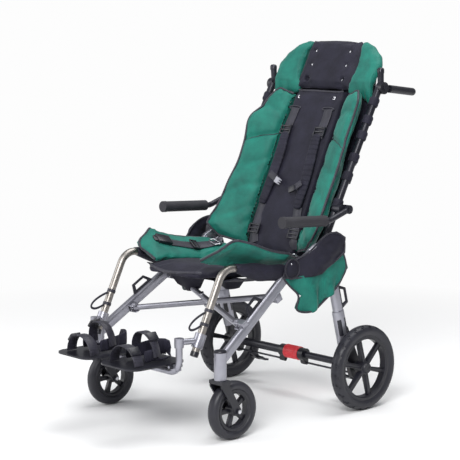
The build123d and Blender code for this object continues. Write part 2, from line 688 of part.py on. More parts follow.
def back_section(t, x, n, wide, thick, turn, r, grow):
    at = Plane(origin=back_ref + back_up * t + Vector(x, 0, 0) + back_out * n, x_dir=(1, 0, 0), z_dir=back_up)
    return at * Rot(0, 0, turn) * RectangleRounded(wide + 2 * grow, thick + 2 * grow, r + grow)


def back_loft(rows, grow=0):
    return loft([back_section(*row, grow) for row in rows], ruled=True)


span = back_high - back_low
crown = 4.0
crown_t = back_low + span * 0.45
pad_rows = [
    (back_low, 0, -pad_t / 2 + 4, 2 * pad_half - 24, pad_t - 16, 0, 9),
    (back_low + 40, 0, -pad_t / 2, 2 * pad_half, pad_t, 0, 14),
    (crown_t, 0, -pad_t / 2 + crown / 2, 2 * pad_half - 4, pad_t + crown, 0, 14),
    (back_high - 40, 0, -pad_t / 2, 2 * pad_half, pad_t, 0, 14),
    (back_high, 0, -pad_t / 2, 2 * pad_half - 16, pad_t - 14, 0, 9),
]
back_pad = back_loft(pad_rows)
save("back_pad", back_pad)
head_n = head_t / 2 - pad_t
head_rows = [
    (head_low, 0, head_n, 2 * pad_half - 12, head_t - 10, 0, 9),
    (head_low + 30, 0, head_n, 2 * pad_half, head_t, 0, 12),
    (head_high - 40, 0, head_n, 2 * pad_half - 10, head_t, 0, 12),
    (head_high, 0, head_n, 2 * pad_half - 36, head_t - 14, 0, 7),
]
head_pad = back_loft(head_rows)
tuft_x = 82.0
tuft_depth = 14.0
for row in range(3):
    for side in (-1, 1):
        at = back_ref + back_up * (head_low + 32 + 50 * row) + Vector(side * tuft_x, 0, 0)
        at += back_out * (head_t - pad_t - tuft_depth)
        head_pad -= rod(tuple(at), tuple(at + back_out * 60), 7)
save("head_pad", head_pad)

# The wings reach under the pads' rounded sides and are trimmed to them.
# Each row gives the front face: where it meets the pad, and its outer edge.
wing_tuck = 16.0


def wing_row(t, n_in, x_out, n_out, thick, r):
    x_in = pad_half + 4
    slant = math.atan2(n_out - n_in, x_out - x_in)
    wide = math.hypot(x_out - x_in, n_out - n_in) + wing_tuck
    x = x_out - math.cos(slant) * wide / 2 + math.sin(slant) * thick / 2
    n = n_out - math.sin(slant) * wide / 2 - math.cos(slant) * thick / 2
    return (t, x, n, wide, thick, -math.degrees(slant), r)


wing_rows = [
    wing_row(back_low + 10, -6, wing_out - 46, wing_rise - 16, wing_t - 16, 8),
    wing_row(back_low + 44, -2, wing_out - 8, wing_rise + 18, wing_t - 4, 12),
    wing_row(back_low + 84, 2, wing_out, wing_rise + 18, wing_t, 12),
    wing_row(back_low + 150, 4, wing_out, wing_rise + 8, wing_t + 2, 12),
    wing_row(back_low + 330, 4, wing_out - 1, wing_rise - 4, wing_t + 2, 12),
    wing_row(back_low + 450, 2, wing_out - 4, wing_rise - 10, wing_t, 12),
    wing_row(back_high - 58, -2, wing_out - 14, wing_rise - 24, wing_t - 2, 12),
    wing_row(back_high - 10, -8, wing_out - 54, wing_rise - 48, wing_t - 18, 8),
]
back_wing = back_loft(wing_rows) - back_loft(pad_rows, soft_gap)
save_pair("back_wing", back_wing)
head_wing_rows = [
    wing_row(head_low + 2, -14, head_out - 2, 4, head_wing_t - 12, 8),
    wing_row(head_low + 34, -13, head_out, 6, head_wing_t, 11),
    wing_row(head_low + 84, -13, head_out - 8, 2, head_wing_t, 11),
    wing_row(head_low + 122, -13, head_out - 26, -3, head_wing_t - 2, 11),
    wing_row(head_high - 20, -14, head_out - 66, -8, head_wing_t - 8, 9),
    wing_row(head_high - 3, -16, head_out - 112, -14, head_wing_t - 16, 6),
]
head_wing = back_loft(head_wing_rows) - back_loft(head_rows, soft_gap)
save("head_wings", head_wing + mirror(head_wing, about=Plane.YZ))

# Black backing panel behind the cushions, with sleeves that wrap the back tubes
panel_half = 216.0
panel_at = Plane(
    origin=back_ref + back_up * (back_low + 20) + back_out * (-pad_t - soft_gap), x_dir=(1, 0, 0), z_dir=back_up
)
panel = extrude(
    panel_at * Pos(0, sling_t / 2) * RectangleRounded(2 * panel_half, sling_t, 2), head_high - back_low - 70
)
sleeve_r = back_tube_d / 2 + 5
for share in (0.42, 0.62, 0.82):
    for side in (-1, 1):
        mid = tube_low + tube_dir * (tube_run * share)
        mid = Vector(side * mid.X, mid.Y, mid.Z)
        ring = rod(tuple(mid - tube_dir * 26), tuple(mid + tube_dir * 26), sleeve_r)
        t = (mid - back_ref).dot(back_up)
        ring += rod(
            tuple(mid), tuple(back_ref + back_up * t + back_out * (-pad_t - soft_gap - sling_t / 2)
                              + Vector(side * (panel_half - 14), 0, 0)),
            sling_t,
        )
        panel += ring
for side in (-1, 1):
    low = Vector(side * elbow_x, elbow_y, elbow_z)
    panel -= rod(tuple(low), tuple(low + tube_dir * (tube_run + 20)), back_tube_d / 2 + slide_gap)
for rows in (wing_rows, head_wing_rows):
    wing_room = back_loft(rows, soft_gap)
    panel = panel - wing_room - mirror(wing_room, about=Plane.YZ)
save("back_sling", panel)


# Shoulder harness: webbing and a padded sleeve lying on the back pad
strap_inset = 38.0
strap_x = pad_half - strap_inset
strap_w = 38.0
strap_t = 3.0
strap_top = 492.0
strap_end = 30.0
shoulder_w = 50.0
shoulder_t = 13.0
shoulder_top = 400.0
shoulder_end = 110.0


def strap_row(t, wide, thick):
    rise = (t - back_low - 40) / (crown_t - back_low - 40)
    if t > crown_t:
        rise = (back_high - 40 - t) / (back_high - 40 - crown_t)
    x = strap_x + 4 * (crown_t - t) / (strap_top - strap_end)
    return (t, x, crown * rise + soft_gap + thick / 2, wide, thick, 0, thick * 0.4)


harness = back_loft([strap_row(t, shoulder_w, shoulder_t) for t in (shoulder_end, crown_t, shoulder_top)])
harness += back_loft([strap_row(t, strap_w, strap_t) for t in (shoulder_top, strap_top)])
harness += back_loft([strap_row(t, strap_w, strap_t) for t in (strap_end, shoulder_end)])
save("harness", harness + mirror(harness, about=Plane.YZ))


# Seat: a padded black trough with two green flaps that rise to the sides
def seat_section(y, x, z, wide, thick, turn, r, grow):
    at = Plane(origin=(x, y, z), x_dir=(1, 0, 0), z_dir=(0, 1, 0))
    return at * Rot(0, 0, turn) * RectangleRounded(wide + 2 * grow, thick + 2 * grow, r + grow)


def seat_loft(rows, grow=0):
    return loft([seat_section(*row, grow) for row in rows], ruled=True)


seat_rows = [
    (-284, 0, 498, 2 * seat_half - 110, seat_pad_t - 14, 0, 7),
    (-262, 0, 501, 2 * seat_half - 40, seat_pad_t - 2, 0, 10),
    (-190, 0, 501, 2 * seat_half - 4, seat_pad_t + 4, 0, 10),
    (-40, 0, 488, 2 * seat_half, seat_pad_t + 4, 0, 10),
    (90, 0, 472, 2 * seat_half, seat_pad_t, 0, 10),
    (128, 0, 467, 2 * seat_half - 20, seat_pad_t - 12, 0, 7),
]
seat_pad = seat_loft(seat_rows)
save("seat_pad", seat_pad)


def seat_face(y, side):
    for a, b in zip(seat_rows, seat_rows[1:]):
        if a[0] <= y <= b[0]:
            share = (y - a[0]) / (b[0] - a[0])
            mid = a[2] + (b[2] - a[2]) * share
            return mid + side * (a[4] + (b[4] - a[4]) * share) / 2


# The flaps reach under the pad's rounded sides and are trimmed to them
flap_tuck = 12.0
flap_in = seat_half - flap_tuck
flap_rows = [
    (-248, 516, 566, -20),
    (-205, 510, 606, -4),
    (-110, 499, 590, 0),
    (0, 489, 562, 0),
    (34, 486, 552, -10),
    (62, 484, 543, -24),
    (96, 481, 530, -26),
]
flap_secs = []
for y, z_in, z_out, trim in flap_rows:
    wide = math.hypot(flap_out + trim - flap_in, z_out - z_in)
    turn = math.degrees(math.atan2(z_out - z_in, flap_out + trim - flap_in))
    flap_secs.append((y, (flap_in + flap_out + trim) / 2, (z_in + z_out) / 2, wide, flap_t, -turn, 7))
seat_flap = seat_loft(flap_secs) - seat_loft(seat_rows, soft_gap)
seat_flap -= oval_tube(leg_points, leg_tall + 2 * soft_gap, leg_wide + 2 * soft_gap, leg_bend_r)
save("seat_flaps", seat_flap + mirror(seat_flap, about=Plane.YZ))

# Fabric sleeve over the seat rail, hanging below it
rail_sleeve_w = 42.0
sleeve_rows = [(-222, 46), (-120, 52), (-40, 46)]
sleeve_secs = []
for y, tall in sleeve_rows:
    along = (y - rail_back_y) / rail_dir.Y
    mid = rail_back + rail_dir * along
    sleeve_secs.append((y, mid.X + 2, mid.Z - 12, rail_sleeve_w, tall, 0, 14))
rail_sleeve = seat_loft(sleeve_secs)
rail_sleeve -= rod(tuple(rail_back), tuple(rail_back + rail_dir * 300), rail_d / 2)
rail_sleeve = rail_sleeve - Pos(0, 0, -soft_gap) * seat_flap - leg_outer - hanger

# Under-seat sling: carries the pad and rises to the rail sleeves
sling_y0 = -190.0
sling_y1 = -40.0


def sling_face(y):
    along = (y - rail_back_y) / rail_dir.Y
    mid = rail_back + rail_dir * along
    edge = mid.X + 2 - rail_sleeve_w / 2 - soft_gap
    low = seat_face(y, -1) - soft_gap
    top = mid.Z - 20
    points = [
        (-edge, top), (-seat_half, low), (seat_half, low), (edge, top), (edge, top - sling_t),
        (seat_half, low - sling_t), (-seat_half, low - sling_t), (-edge, top - sling_t),
    ]
    at = Plane(origin=(0, y, 0), x_dir=(1, 0, 0), z_dir=(0, -1, 0))
    return at * outline(points)


seat_sling = loft([sling_face(sling_y1), sling_face(sling_y0)])
save("seat_sling", seat_sling)

# Lap belt lying across the seat
belt_y = -66.0
belt_half = 19.0
buckle_half = 23.0


def belt_side(half, thick):
    y0 = belt_y - half
    y1 = belt_y + half
    z0 = seat_face(y0, 1) + soft_gap
    z1 = seat_face(y1, 1) + soft_gap
    return outline([(y0, z0), (y1, z1), (y1, z1 + thick), (y0, z0 + thick)])


belt = side_plate(belt_side(belt_half, 3), -seat_half + 22, seat_half - 22)
belt += side_plate(belt_side(buckle_half, 14), -70, -6)
save("lap_belt", belt)

# Side skirt: green cloth that hangs in folds outside the rear leg, black pocket panel above it, round hub cover
pocket_x = rear_out + 3 + soft_gap
pocket_t = 5.0
skirt_t = 5.0
skirt_fold = 5.0
seam_line = [(218, 522), (122, 482), (28, 481)]
skirt_line = [
    (10, 477), (42, 433), (24, 375), (43, 363), (114, 367), (132, 395), (185, 430), (219, 436), (253, 491),
]
fold_rows = [
    (-10, 1), (25, -0.6), (62, 0.8), (98, -0.8), (132, 0.6), (160, 0.3), (190, 0.12), (220, 0.12), (245, 0.35), (275, 0.8),
]
skirt_mid = rear_out + soft_gap + skirt_t / 2
wave = Spline(*[(skirt_mid + skirt_fold * fold, y) for y, fold in fold_rows])
wave_points = [wave @ (i / 40) for i in range(41)]
inner_wave = [(p.X - skirt_t / 2, p.Y) for p in wave_points]
outer_wave = [(p.X + skirt_t / 2, p.Y) for p in reversed(wave_points)]
fold_face = make_face(
    Spline(*inner_wave)
    + Line(inner_wave[-1], outer_wave[0])
    + Spline(*outer_wave)
    + Line(outer_wave[-1], inner_wave[0])
)
hung = extrude(Plane.XY.offset(340) * fold_face, 220)
skirt = hung & side_plate(outline(skirt_line + seam_line), rear_in, rear_out + 40)
save_pair("side_skirt", skirt)
pocket_line = [(y, z + 1.5 * soft_gap) for y, z in reversed(seam_line)]
pocket_line += [(253, 500), (258, 573), (238, 610), (189, 621), (127, 596), (60, 530)]
pocket = side_plate(outline(pocket_line), pocket_x, pocket_x + pocket_t)
hub_cover_y = 6.0
hub_cover_z = 512.0
hub_cover_r = 34.0
hub_cover_t = 8.0
leg_under = leg_outer & x_disc(0, 2 * leg_bend_x, hub_cover_y, hub_cover_z, hub_cover_r)
cover_x = leg_under.bounding_box().max.X + soft_gap
cover = x_disc(cover_x, cover_x + hub_cover_t, hub_cover_y, hub_cover_z, hub_cover_r)
save_pair("side_cloth", pocket + cover + rail_sleeve)
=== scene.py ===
import bmesh
import bpy
from math import atan2, cos, exp, hypot, pi, radians, sin, tan, tau
from mathutils import Matrix, Vector, noise
from mathutils.bvhtree import BVHTree


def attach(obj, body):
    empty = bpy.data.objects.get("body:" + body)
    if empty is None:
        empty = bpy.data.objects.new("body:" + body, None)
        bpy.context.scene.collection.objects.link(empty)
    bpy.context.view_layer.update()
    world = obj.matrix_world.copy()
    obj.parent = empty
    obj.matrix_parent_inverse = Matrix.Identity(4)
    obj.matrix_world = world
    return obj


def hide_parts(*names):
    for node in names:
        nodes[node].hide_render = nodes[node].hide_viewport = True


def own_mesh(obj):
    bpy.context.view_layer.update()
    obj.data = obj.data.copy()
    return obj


# Special needs stroller, dressed around its frame. Metres, +Z up, front towards -Y, +X the occupant's left.
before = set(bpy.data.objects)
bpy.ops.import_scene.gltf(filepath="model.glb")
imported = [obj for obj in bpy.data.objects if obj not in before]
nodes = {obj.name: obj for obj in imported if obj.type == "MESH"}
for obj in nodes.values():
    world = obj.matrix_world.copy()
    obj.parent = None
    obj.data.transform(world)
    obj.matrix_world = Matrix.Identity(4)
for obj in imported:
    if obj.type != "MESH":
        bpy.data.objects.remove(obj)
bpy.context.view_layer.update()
mm = 0.001
scene = bpy.context.scene
sides = (("left", 1), ("right", -1))

# The leaning plane that carries the back cushions
backPlane = {"y": 180.0, "z": 560.0, "lean": 24.7}
lean = radians(backPlane["lean"])
backUp = Vector((0, sin(lean), cos(lean)))
backOut = Vector((0, -cos(lean), sin(lean)))
backRef = Vector((0, backPlane["y"], backPlane["z"])) * mm


def pt(x, y, z):
    return Vector((x, y, z)) * mm


def onBack(x, t, n):
    return backRef + Vector((x * mm, 0, 0)) + backUp * (t * mm) + backOut * (n * mm)


def hexColour(code):
    parts = [int(code[i:i + 2], 16) / 255 for i in (1, 3, 5)]
    return tuple(c / 12.92 if c <= 0.04045 else ((c + 0.055) / 1.055) ** 2.4 for c in parts) + (1.0,)


# Materials
def newLook(name):
    mat = bpy.data.materials.new(name)
    mat.use_nodes = True
    mat.node_tree.nodes.clear()
    return mat


def addNode(mat, kind, feeds=None, **settings):
    # A node given as a feed stands for its first output
    node = mat.node_tree.nodes.new("ShaderNode" + kind)
    for key, value in settings.items():
        setattr(node, key, value)
    for socket, value in (feeds or {}).items():
        if isinstance(value, bpy.types.Node):
            value = value.outputs[0]
        if isinstance(value, bpy.types.NodeSocket):
            mat.node_tree.links.new(value, node.inputs[socket])
        else:
            node.inputs[socket].default_value = value
    return node


def mapRange(mat, value, low, high, start=0.0, end=1.0):
    feeds = {"Value": value, "From Min": low, "From Max": high, "To Min": start, "To Max": end}
    return addNode(mat, "MapRange", feeds)


def mixTone(mat, share, first, second):
    return addNode(mat, "MixRGB", {"Fac": share, "Color1": first, "Color2": second})


def finishLook(mat, feeds):
    shader = addNode(mat, "BsdfPrincipled", feeds)
    addNode(mat, "OutputMaterial", {"Surface": shader})
    return mat


# Length of one band of the wave texture at a scale of one, in metres
waveBand = 0.314159


def wovenLook(name, lit, deep, gap, gaps, pitch, rough, sheen, spec, crease):
    mat = newLook(name)
    spot = addNode(mat, "TexCoord").outputs["Object"]
    grid = addNode(mat, "Mapping", {"Vector": spot, "Rotation": (radians(45), 0, 0)})
    threads = {"Vector": grid, "Scale": waveBand / (pitch * mm)}
    warp = addNode(mat, "TexWave", threads, bands_direction="X").outputs["Fac"]
    weft = addNode(mat, "TexWave", threads, bands_direction="Z").outputs["Fac"]
    weave = addNode(mat, "Math", {0: warp, 1: weft}, operation="MULTIPLY")
    shade = addNode(mat, "TexNoise", {"Vector": spot, "Scale": 16.0, "Detail": 4.0, "Roughness": 0.6})
    tone = mixTone(mat, mapRange(mat, shade, 0.32, 0.68), hexColour(deep), hexColour(lit))
    dark = mixTone(mat, mapRange(mat, weave, 0.0, 0.7, 0.0, gaps), tone, hexColour(gap))
    creases = addNode(mat, "TexNoise", {"Vector": spot, "Scale": 34.0, "Detail": 3.0, "Distortion": 0.6})
    soft = addNode(mat, "Bump", {"Height": creases, "Strength": crease, "Distance": 0.004})
    fine = addNode(mat, "Bump", {"Height": weave, "Strength": 0.35, "Distance": 0.0004, "Normal": soft})
    return finishLook(mat, {
        "Base Color": dark, "Roughness": rough, "Normal": fine, "Sheen Weight": sheen, "Sheen Roughness": 0.4,
        "Specular IOR Level": spec,
    })


def solidLook(name, lit, deep, grain, bump, rough, spread=0.06, metal=0.0):
    mat = newLook(name)
    spot = addNode(mat, "TexCoord").outputs["Object"]
    fine = addNode(mat, "TexNoise", {"Vector": spot, "Scale": grain, "Detail": 3.0})
    patch = addNode(mat, "TexNoise", {"Vector": spot, "Scale": 11.0, "Detail": 3.0, "Roughness": 0.65})
    tone = mixTone(mat, mapRange(mat, patch, 0.35, 0.65), hexColour(deep), hexColour(lit))
    worn = mapRange(mat, patch, 0.3, 0.7, rough - spread, rough + spread)
    relief = addNode(mat, "Bump", {"Height": fine, "Strength": bump, "Distance": 0.0005})
    return finishLook(mat, {"Base Color": tone, "Roughness": worn, "Metallic": metal, "Normal": relief})


looks = {
    # Coated nylon upholstery, one weave in teal green and one in black
    "green_cloth": wovenLook(
        "green coated nylon", "#197A6B", "#126056", "#0C4039",
        gaps=0.3, pitch=2.6, rough=0.6, sheen=0.12, spec=0.3, crease=0.4,
    ),
    "black_cloth": wovenLook(
        "black coated nylon", "#272635", "#1C1B27", "#0E0E15",
        gaps=0.4, pitch=2.6, rough=0.68, sheen=0.05, spec=0.25, crease=0.4,
    ),
    # Polypropylene webbing of the straps and of the tape that binds the seams
    "webbing": wovenLook(
        "black polypropylene webbing", "#343340", "#25242E", "#101016",
        gaps=0.6, pitch=3.2, rough=0.5, sheen=0.1, spec=0.45, crease=0.1,
    ),
    # Closed-cell foam of the grips and armrests
    "foam": solidLook("black foam", "#2F2E34", "#25242A", grain=700, bump=0.4, rough=0.7),
    # Dark grey solid rubber of all four tyres
    "tyre": solidLook(
        "grey tyre rubber", "#27272F", "#1E1E26", grain=420, bump=0.25, rough=0.44, spread=0.08,
    ),
    # Glass-filled nylon mouldings: rims, forks, brackets, footplates
    "rim": solidLook(
        "black moulded nylon", "#1E1E27", "#16161D", grain=900, bump=0.2, rough=0.36, spread=0.08,
    ),
    # Silver powder coat on the aluminium frame tubes
    "frame": solidLook(
        "silver powder coated aluminium", "#A6A6AF", "#9797A1",
        grain=1500, bump=0.05, rough=0.33, metal=0.75,
    ),
    # Nickel-chrome plate on the leg hangers
    "chrome": solidLook(
        "nickel chrome plated steel", "#A29D98", "#928D88",
        grain=60, bump=0.0, rough=0.38, spread=0.05, metal=1.0,
    ),
    # Black powder coat on the back tubes and steel fittings
    "black_metal": solidLook(
        "black powder coated steel", "#292932", "#1F1F28",
        grain=1300, bump=0.12, rough=0.36, spread=0.07, metal=0.3,
    ),
    # Zinc plate on bolts, rivets and strap rings
    "steel": solidLook(
        "zinc plated steel", "#D5D5DA", "#BDBDC4",
        grain=800, bump=0.06, rough=0.26, metal=1.0,
    ),
    # Moulded ABS of the lock sleeve and of the pale buckle
    "red_plastic": solidLook("red ABS plastic", "#E23A44", "#D02A36", grain=500, bump=0.08, rough=0.34),
    "grey_plastic": solidLook("grey ABS plastic", "#A3A3AC", "#8F8F99", grain=500, bump=0.1, rough=0.4),
}
looks["black_plastic"] = looks["rim"]
nodeSlots = {
    "tyre": ["tyre"],
    "rim": ["rim", "fork", "axle_bracket", "footplate", "push_handle", "lock_core"],
    "frame": ["front_leg", "rear_leg", "seat_rail", "foot_arm", "brace_bar"],
    "chrome": ["leg_hanger"],
    "black_metal": ["brake_pedal", "leg_fittings", "back_tube", "armrest_tube", "crossbar"],
    "foam": ["armrest_pad"],
    "red_plastic": ["lock_sleeve"],
    "steel": ["brace_bolt"],
}
for nodeName, solid in nodes.items():
    for slot, keys in nodeSlots.items():
        if any(key in nodeName for key in keys):
            solid.data.materials.clear()
            solid.data.materials.append(looks[slot])
print("materials made")


# Mesh helpers
def addObject(name, data):
    holder = bpy.data.objects.new(name, data)
    scene.collection.objects.link(holder)
    return holder


def meshFrom(name, bm):
    mesh = bpy.data.meshes.new(name)
    bm.to_mesh(mesh)
    bm.free()
    return mesh


def addPiece(name, bm, slot, body, stands=(), sharp=None):
    bmesh.ops.recalc_face_normals(bm, faces=bm.faces)
    return dressPiece(addObject(name, meshFrom(name, bm)), slot, body, stands, sharp)


def dressPiece(piece, slot, body, stands=(), sharp=None):
    piece.data.materials.clear()
    piece.data.materials.append(looks[slot])
    piece.data.shade_smooth()
    if sharp:
        piece.data.set_sharp_from_angle(angle=radians(sharp))
    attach(piece, body)
    # What lies on the seat and the back gets a mesh of its own
    if body in ("seat", "back"):
        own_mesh(piece)
    if stands:
        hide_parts(*stands)
    return piece


def thicken(piece, thick, offset=-1):
    layer = piece.modifiers.new("cloth", "SOLIDIFY")
    layer.thickness = thick * mm
    layer.offset = offset


def roundOff(piece, levels):
    layer = piece.modifiers.new("round", "SUBSURF")
    layer.levels = levels
    layer.render_levels = levels


def addTube(bm, points, radius, closed=False, sides=3, order=4):
    curve = bpy.data.curves.new("run", "CURVE")
    curve.dimensions = "3D"
    curve.resolution_u = 4
    curve.bevel_depth = radius * mm
    curve.bevel_resolution = sides
    curve.use_fill_caps = not closed
    line = curve.splines.new("NURBS")
    line.points.add(len(points) - 1)
    for spot, place in zip(line.points, points):
        spot.co = (place.x, place.y, place.z, 1)
    line.order_u = min(order, len(points))
    line.use_endpoint_u = not closed
    line.use_cyclic_u = closed
    holder = bpy.data.objects.new("run", curve)
    bm.from_mesh(holder.to_mesh())
    holder.to_mesh_clear()
    bpy.data.objects.remove(holder)
    bpy.data.curves.remove(curve)


def addPiping(name, points, radius, body, **shape):
    bm = bmesh.new()
    addTube(bm, points, radius, **shape)
    addPiece(name, bm, "webbing", body)


def mirrored(half):
    # A line given up to its middle, which isn't repeated where it lies at 0
    return half + [(-spot[0], *spot[1:]) for spot in reversed(half) if spot[0]]


def ringRun(centre, across, up, count):
    turns = [tau * i / count for i in range(count)]
    return [centre + across * cos(a) + up * sin(a) for a in turns]


def smoothRun(points, times=1, cuts=2):
    for cut in range(cuts):
        finer = [points[0]]
        for a, b in zip(points, points[1:]):
            finer += [(a + b) / 2, b]
        points = finer
        for i in range(times):
            inner = [(a + b * 2 + c) / 4 for a, b, c in zip(points, points[1:], points[2:])]
            points = [points[0]] + inner + [points[-1]]
    return points


def bendRun(corner, radius):
    # Two straight legs joined by an arc
    a, b, c = corner
    u = (a - b).normalized()
    v = (c - b).normalized()
    half = u.angle(v) / 2
    centre = b + (u + v).normalized() * (radius * mm / sin(half))
    reach = radius * mm / tan(half)
    first = (b + u * reach - centre).normalized()
    last = (b + v * reach - centre).normalized()
    arc = [centre + first.slerp(last, i / 12) * (radius * mm) for i in range(13)]
    return [a] + arc + [c]


def addRibbon(bm, points, facings, width, thick, widths=None):
    # A strap section drawn once and extruded from point to point
    rim = 0.5 - thick * 0.5 / width
    section = [(-0.5, 0), (-rim, -0.5), (rim, -0.5), (0.5, 0), (rim, 0.5), (-rim, 0.5)]

    def frameAt(i):
        run = (points[min(i + 1, len(points) - 1)] - points[max(i - 1, 0)]).normalized()
        face = facings[i] if isinstance(facings, list) else facings
        across = run.cross(face).normalized()
        face = across.cross(run).normalized()
        wide = (widths[i] if widths else width) * mm
        place = Matrix((across * wide, face * (thick * mm), run)).transposed().to_4x4()
        place.translation = points[i]
        return place

    end = bm.faces.new([bm.verts.new(frameAt(0) @ Vector((u, v, 0))) for u, v in section])
    for i in range(1, len(points)):
        grown = bmesh.ops.extrude_face_region(bm, geom=[end])["geom"]
        end = [g for g in grown if isinstance(g, bmesh.types.BMFace)][0]
        fresh = [g for g in grown if isinstance(g, bmesh.types.BMVert)]
        move = frameAt(i) @ frameAt(i - 1).inverted()
        bmesh.ops.transform(bm, matrix=move, verts=fresh)


def bevelEdges(shape, edges, size):
    bmesh.ops.bevel(
        shape, geom=edges, offset=size * mm, segments=2, profile=0.5, affect="EDGES", material=-1,
    )


def addBlock(bm, centre, size, turn=None, corner=1.5):
    shape = bmesh.new()
    bmesh.ops.create_cube(shape, size=1)
    bmesh.ops.scale(shape, vec=Vector(size) * mm, verts=shape.verts)
    bevelEdges(shape, shape.edges[:], corner)
    place = (turn or Matrix.Identity(3)).to_4x4()
    place.translation = centre
    shape.transform(place)
    joinShape(bm, shape)


def joinShape(bm, shape):
    carrier = meshFrom("carrier", shape)
    bm.from_mesh(carrier)
    bpy.data.meshes.remove(carrier)


def addGrid(bm, across, along):
    return bmesh.ops.create_grid(bm, x_segments=across, y_segments=along, size=0.5)["verts"]


def axesFrom(facing, along):
    z = facing.normalized()
    x = (along - z * along.dot(z)).normalized()
    return Matrix((x, z.cross(x), z)).transposed()


def addLathe(bm, section, centre, axis, steps=32, closed=False):
    # Section given as (along the axis, radius) in mm
    shape = bmesh.new()
    turn = zAxis.rotation_difference(axis).to_matrix()
    spots = [shape.verts.new(turn @ Vector((r * mm, 0, a * mm))) for a, r in section]
    ends = spots[1:] + (spots[:1] if closed else [])
    wires = [shape.edges.new(pair) for pair in zip(spots, ends)]
    bmesh.ops.spin(
        shape, geom=spots + wires, cent=(0, 0, 0), axis=axis, dvec=(0, 0, 0), angle=tau, steps=steps,
        use_merge=True,
    )
    bmesh.ops.remove_doubles(shape, verts=shape.verts, dist=1e-6)
    bmesh.ops.recalc_face_normals(shape, faces=shape.faces)
    bmesh.ops.translate(shape, vec=centre, verts=shape.verts)
    joinShape(bm, shape)


def addOval(bm, spans):
    # Oval rings, each a centre and two half axes in mm, bridged one to the next
    rings = []
    for mid, wide, tall in spans:
        turn = Matrix((wide * mm, tall * mm, wide.cross(tall).normalized())).transposed().to_4x4()
        turn.translation = mid
        ring = bmesh.ops.create_circle(bm, segments=24, radius=1.0, matrix=turn)["verts"]
        rings.append(list({e for v in ring for e in v.link_edges}))
    for a, b in zip(rings, rings[1:]):
        bmesh.ops.bridge_loops(bm, edges=a + b)
    bmesh.ops.holes_fill(bm, edges=rings[0] + rings[-1])


xAxis = Vector((1, 0, 0))
yAxis = Vector((0, 1, 0))
zAxis = Vector((0, 0, 1))

# Tyres: grooved rear treads, smooth caster tyres
rearWheel = {"x": 336, "y": 298.3, "z": 146, "steps": 100, "spokes": 6}
rearTread = mirrored([(-16, 111.3), (-20, 118), (-22.3, 128), (-20, 137.5), (-13, 143.4), (-5, 145.8)])
# Grooves: least radius, half width of the plain rib, stepped bands, one in so many, lip and depth
groove = {"from": 136, "rib": 6, "bands": (18, 13), "each": 4, "lip": 0.5, "cut": 2.4}
casterWheel = {"x": 313, "y": -286.5, "z": 95, "steps": 72, "spokes": 5}
casterTread = mirrored([(-14, 66.3), (-18, 72), (-19.8, 80), (-17.5, 88), (-10, 93.2), (-3, 94.8)])
for side, sign in sides:
    hub = pt(sign * rearWheel["x"], rearWheel["y"], rearWheel["z"])
    bm = bmesh.new()
    addLathe(bm, rearTread, hub, xAxis, rearWheel["steps"], closed=True)
    grooves = []
    for face in bm.faces:
        spot = (face.calc_center_median() - hub) / mm
        ring = abs(spot.x)
        turn = int((atan2(spot.z, spot.y) % tau) / tau * rearWheel["steps"])
        step = sum(ring <= band for band in groove["bands"])
        cutHere = hypot(spot.y, spot.z) > groove["from"] and ring > groove["rib"]
        if cutHere and (turn + step) % groove["each"] == 0:
            grooves.append(face)
    bmesh.ops.inset_individual(bm, faces=grooves, thickness=groove["lip"] * mm, depth=-groove["cut"] * mm)
    addPiece(f"rearTyre_{side}", bm, "tyre", f"{side}_rear_wheel", [f"rear_tyre_{side}"], sharp=40)
    hub = pt(sign * casterWheel["x"], casterWheel["y"], casterWheel["z"])
    bm = bmesh.new()
    addLathe(bm, casterTread, hub, xAxis, casterWheel["steps"], closed=True)
    addPiece(f"casterTyre_{side}", bm, "tyre", f"{side}_caster_wheel", [f"caster_tyre_{side}"])
print("tyres made")

# Rims: a lipped ring, tapered spokes and a stepped hub
rearRim = {
    "ring": mirrored([(-11, 109), (-13.5, 112.6), (-17, 112), (-17, 104), (-12, 99)]),
    "hub": [(-22, 0), (-22, 19), (-19, 22.6), (13, 22.6), (15, 19), (21, 17.5), (23.6, 14.5), (23.6, 9),
            (21.5, 8), (21.5, 0)],
    "from": 18, "to": 101, "wide": (13, 19), "deep": (22, 13), "shift": 2,
}
casterRim = {
    "ring": mirrored([(-15, 66.6), (-15, 59), (-11, 54)]),
    "hub": mirrored([(-19.6, 0), (-19.6, 12), (-16, 16.6)]),
    "from": 14, "to": 56, "wide": (12, 20), "deep": (16, 12), "shift": 0,
}


def addSpokes(bm, rim, hub, count, sign):
    spoke = bmesh.new()
    bmesh.ops.create_cube(spoke, size=1)
    for corner in spoke.verts:
        far = corner.co.z > 0
        corner.co.x = (corner.co.x * rim["deep"][far] + sign * rim["shift"]) * mm
        corner.co.y = corner.co.y * rim["wide"][far] * mm
        corner.co.z = rim["to" if far else "from"] * mm
    bevelEdges(spoke, spoke.edges[:], 2.6)
    bmesh.ops.inset_individual(
        spoke, faces=[f for f in spoke.faces if abs(f.normal.x) > 0.98 and f.calc_area() > 4e-4],
        thickness=3 * mm, depth=-2.2 * mm,
    )
    for i in range(count):
        blade = spoke.copy()
        turn = Matrix.Rotation(tau * (i + 0.25) / count, 4, "X")
        blade.transform(Matrix.Translation(hub) @ turn)
        joinShape(bm, blade)
    spoke.free()


for side, sign in sides:
    for kind, rim, wheel in (("rear", rearRim, rearWheel), ("caster", casterRim, casterWheel)):
        hub = pt(sign * wheel["x"], wheel["y"], wheel["z"])
        bm = bmesh.new()
        addLathe(bm, rim["ring"], hub, xAxis, 72, closed=True)
        addLathe(bm, rim["hub"], hub, xAxis * sign, 36)
        addSpokes(bm, rim, hub, wheel["spokes"], sign)
        addPiece(f"{kind}Rim_{side}", bm, "rim", f"{side}_{kind}_wheel", [f"{kind}_rim_{side}"], sharp=38)
print("rims made")

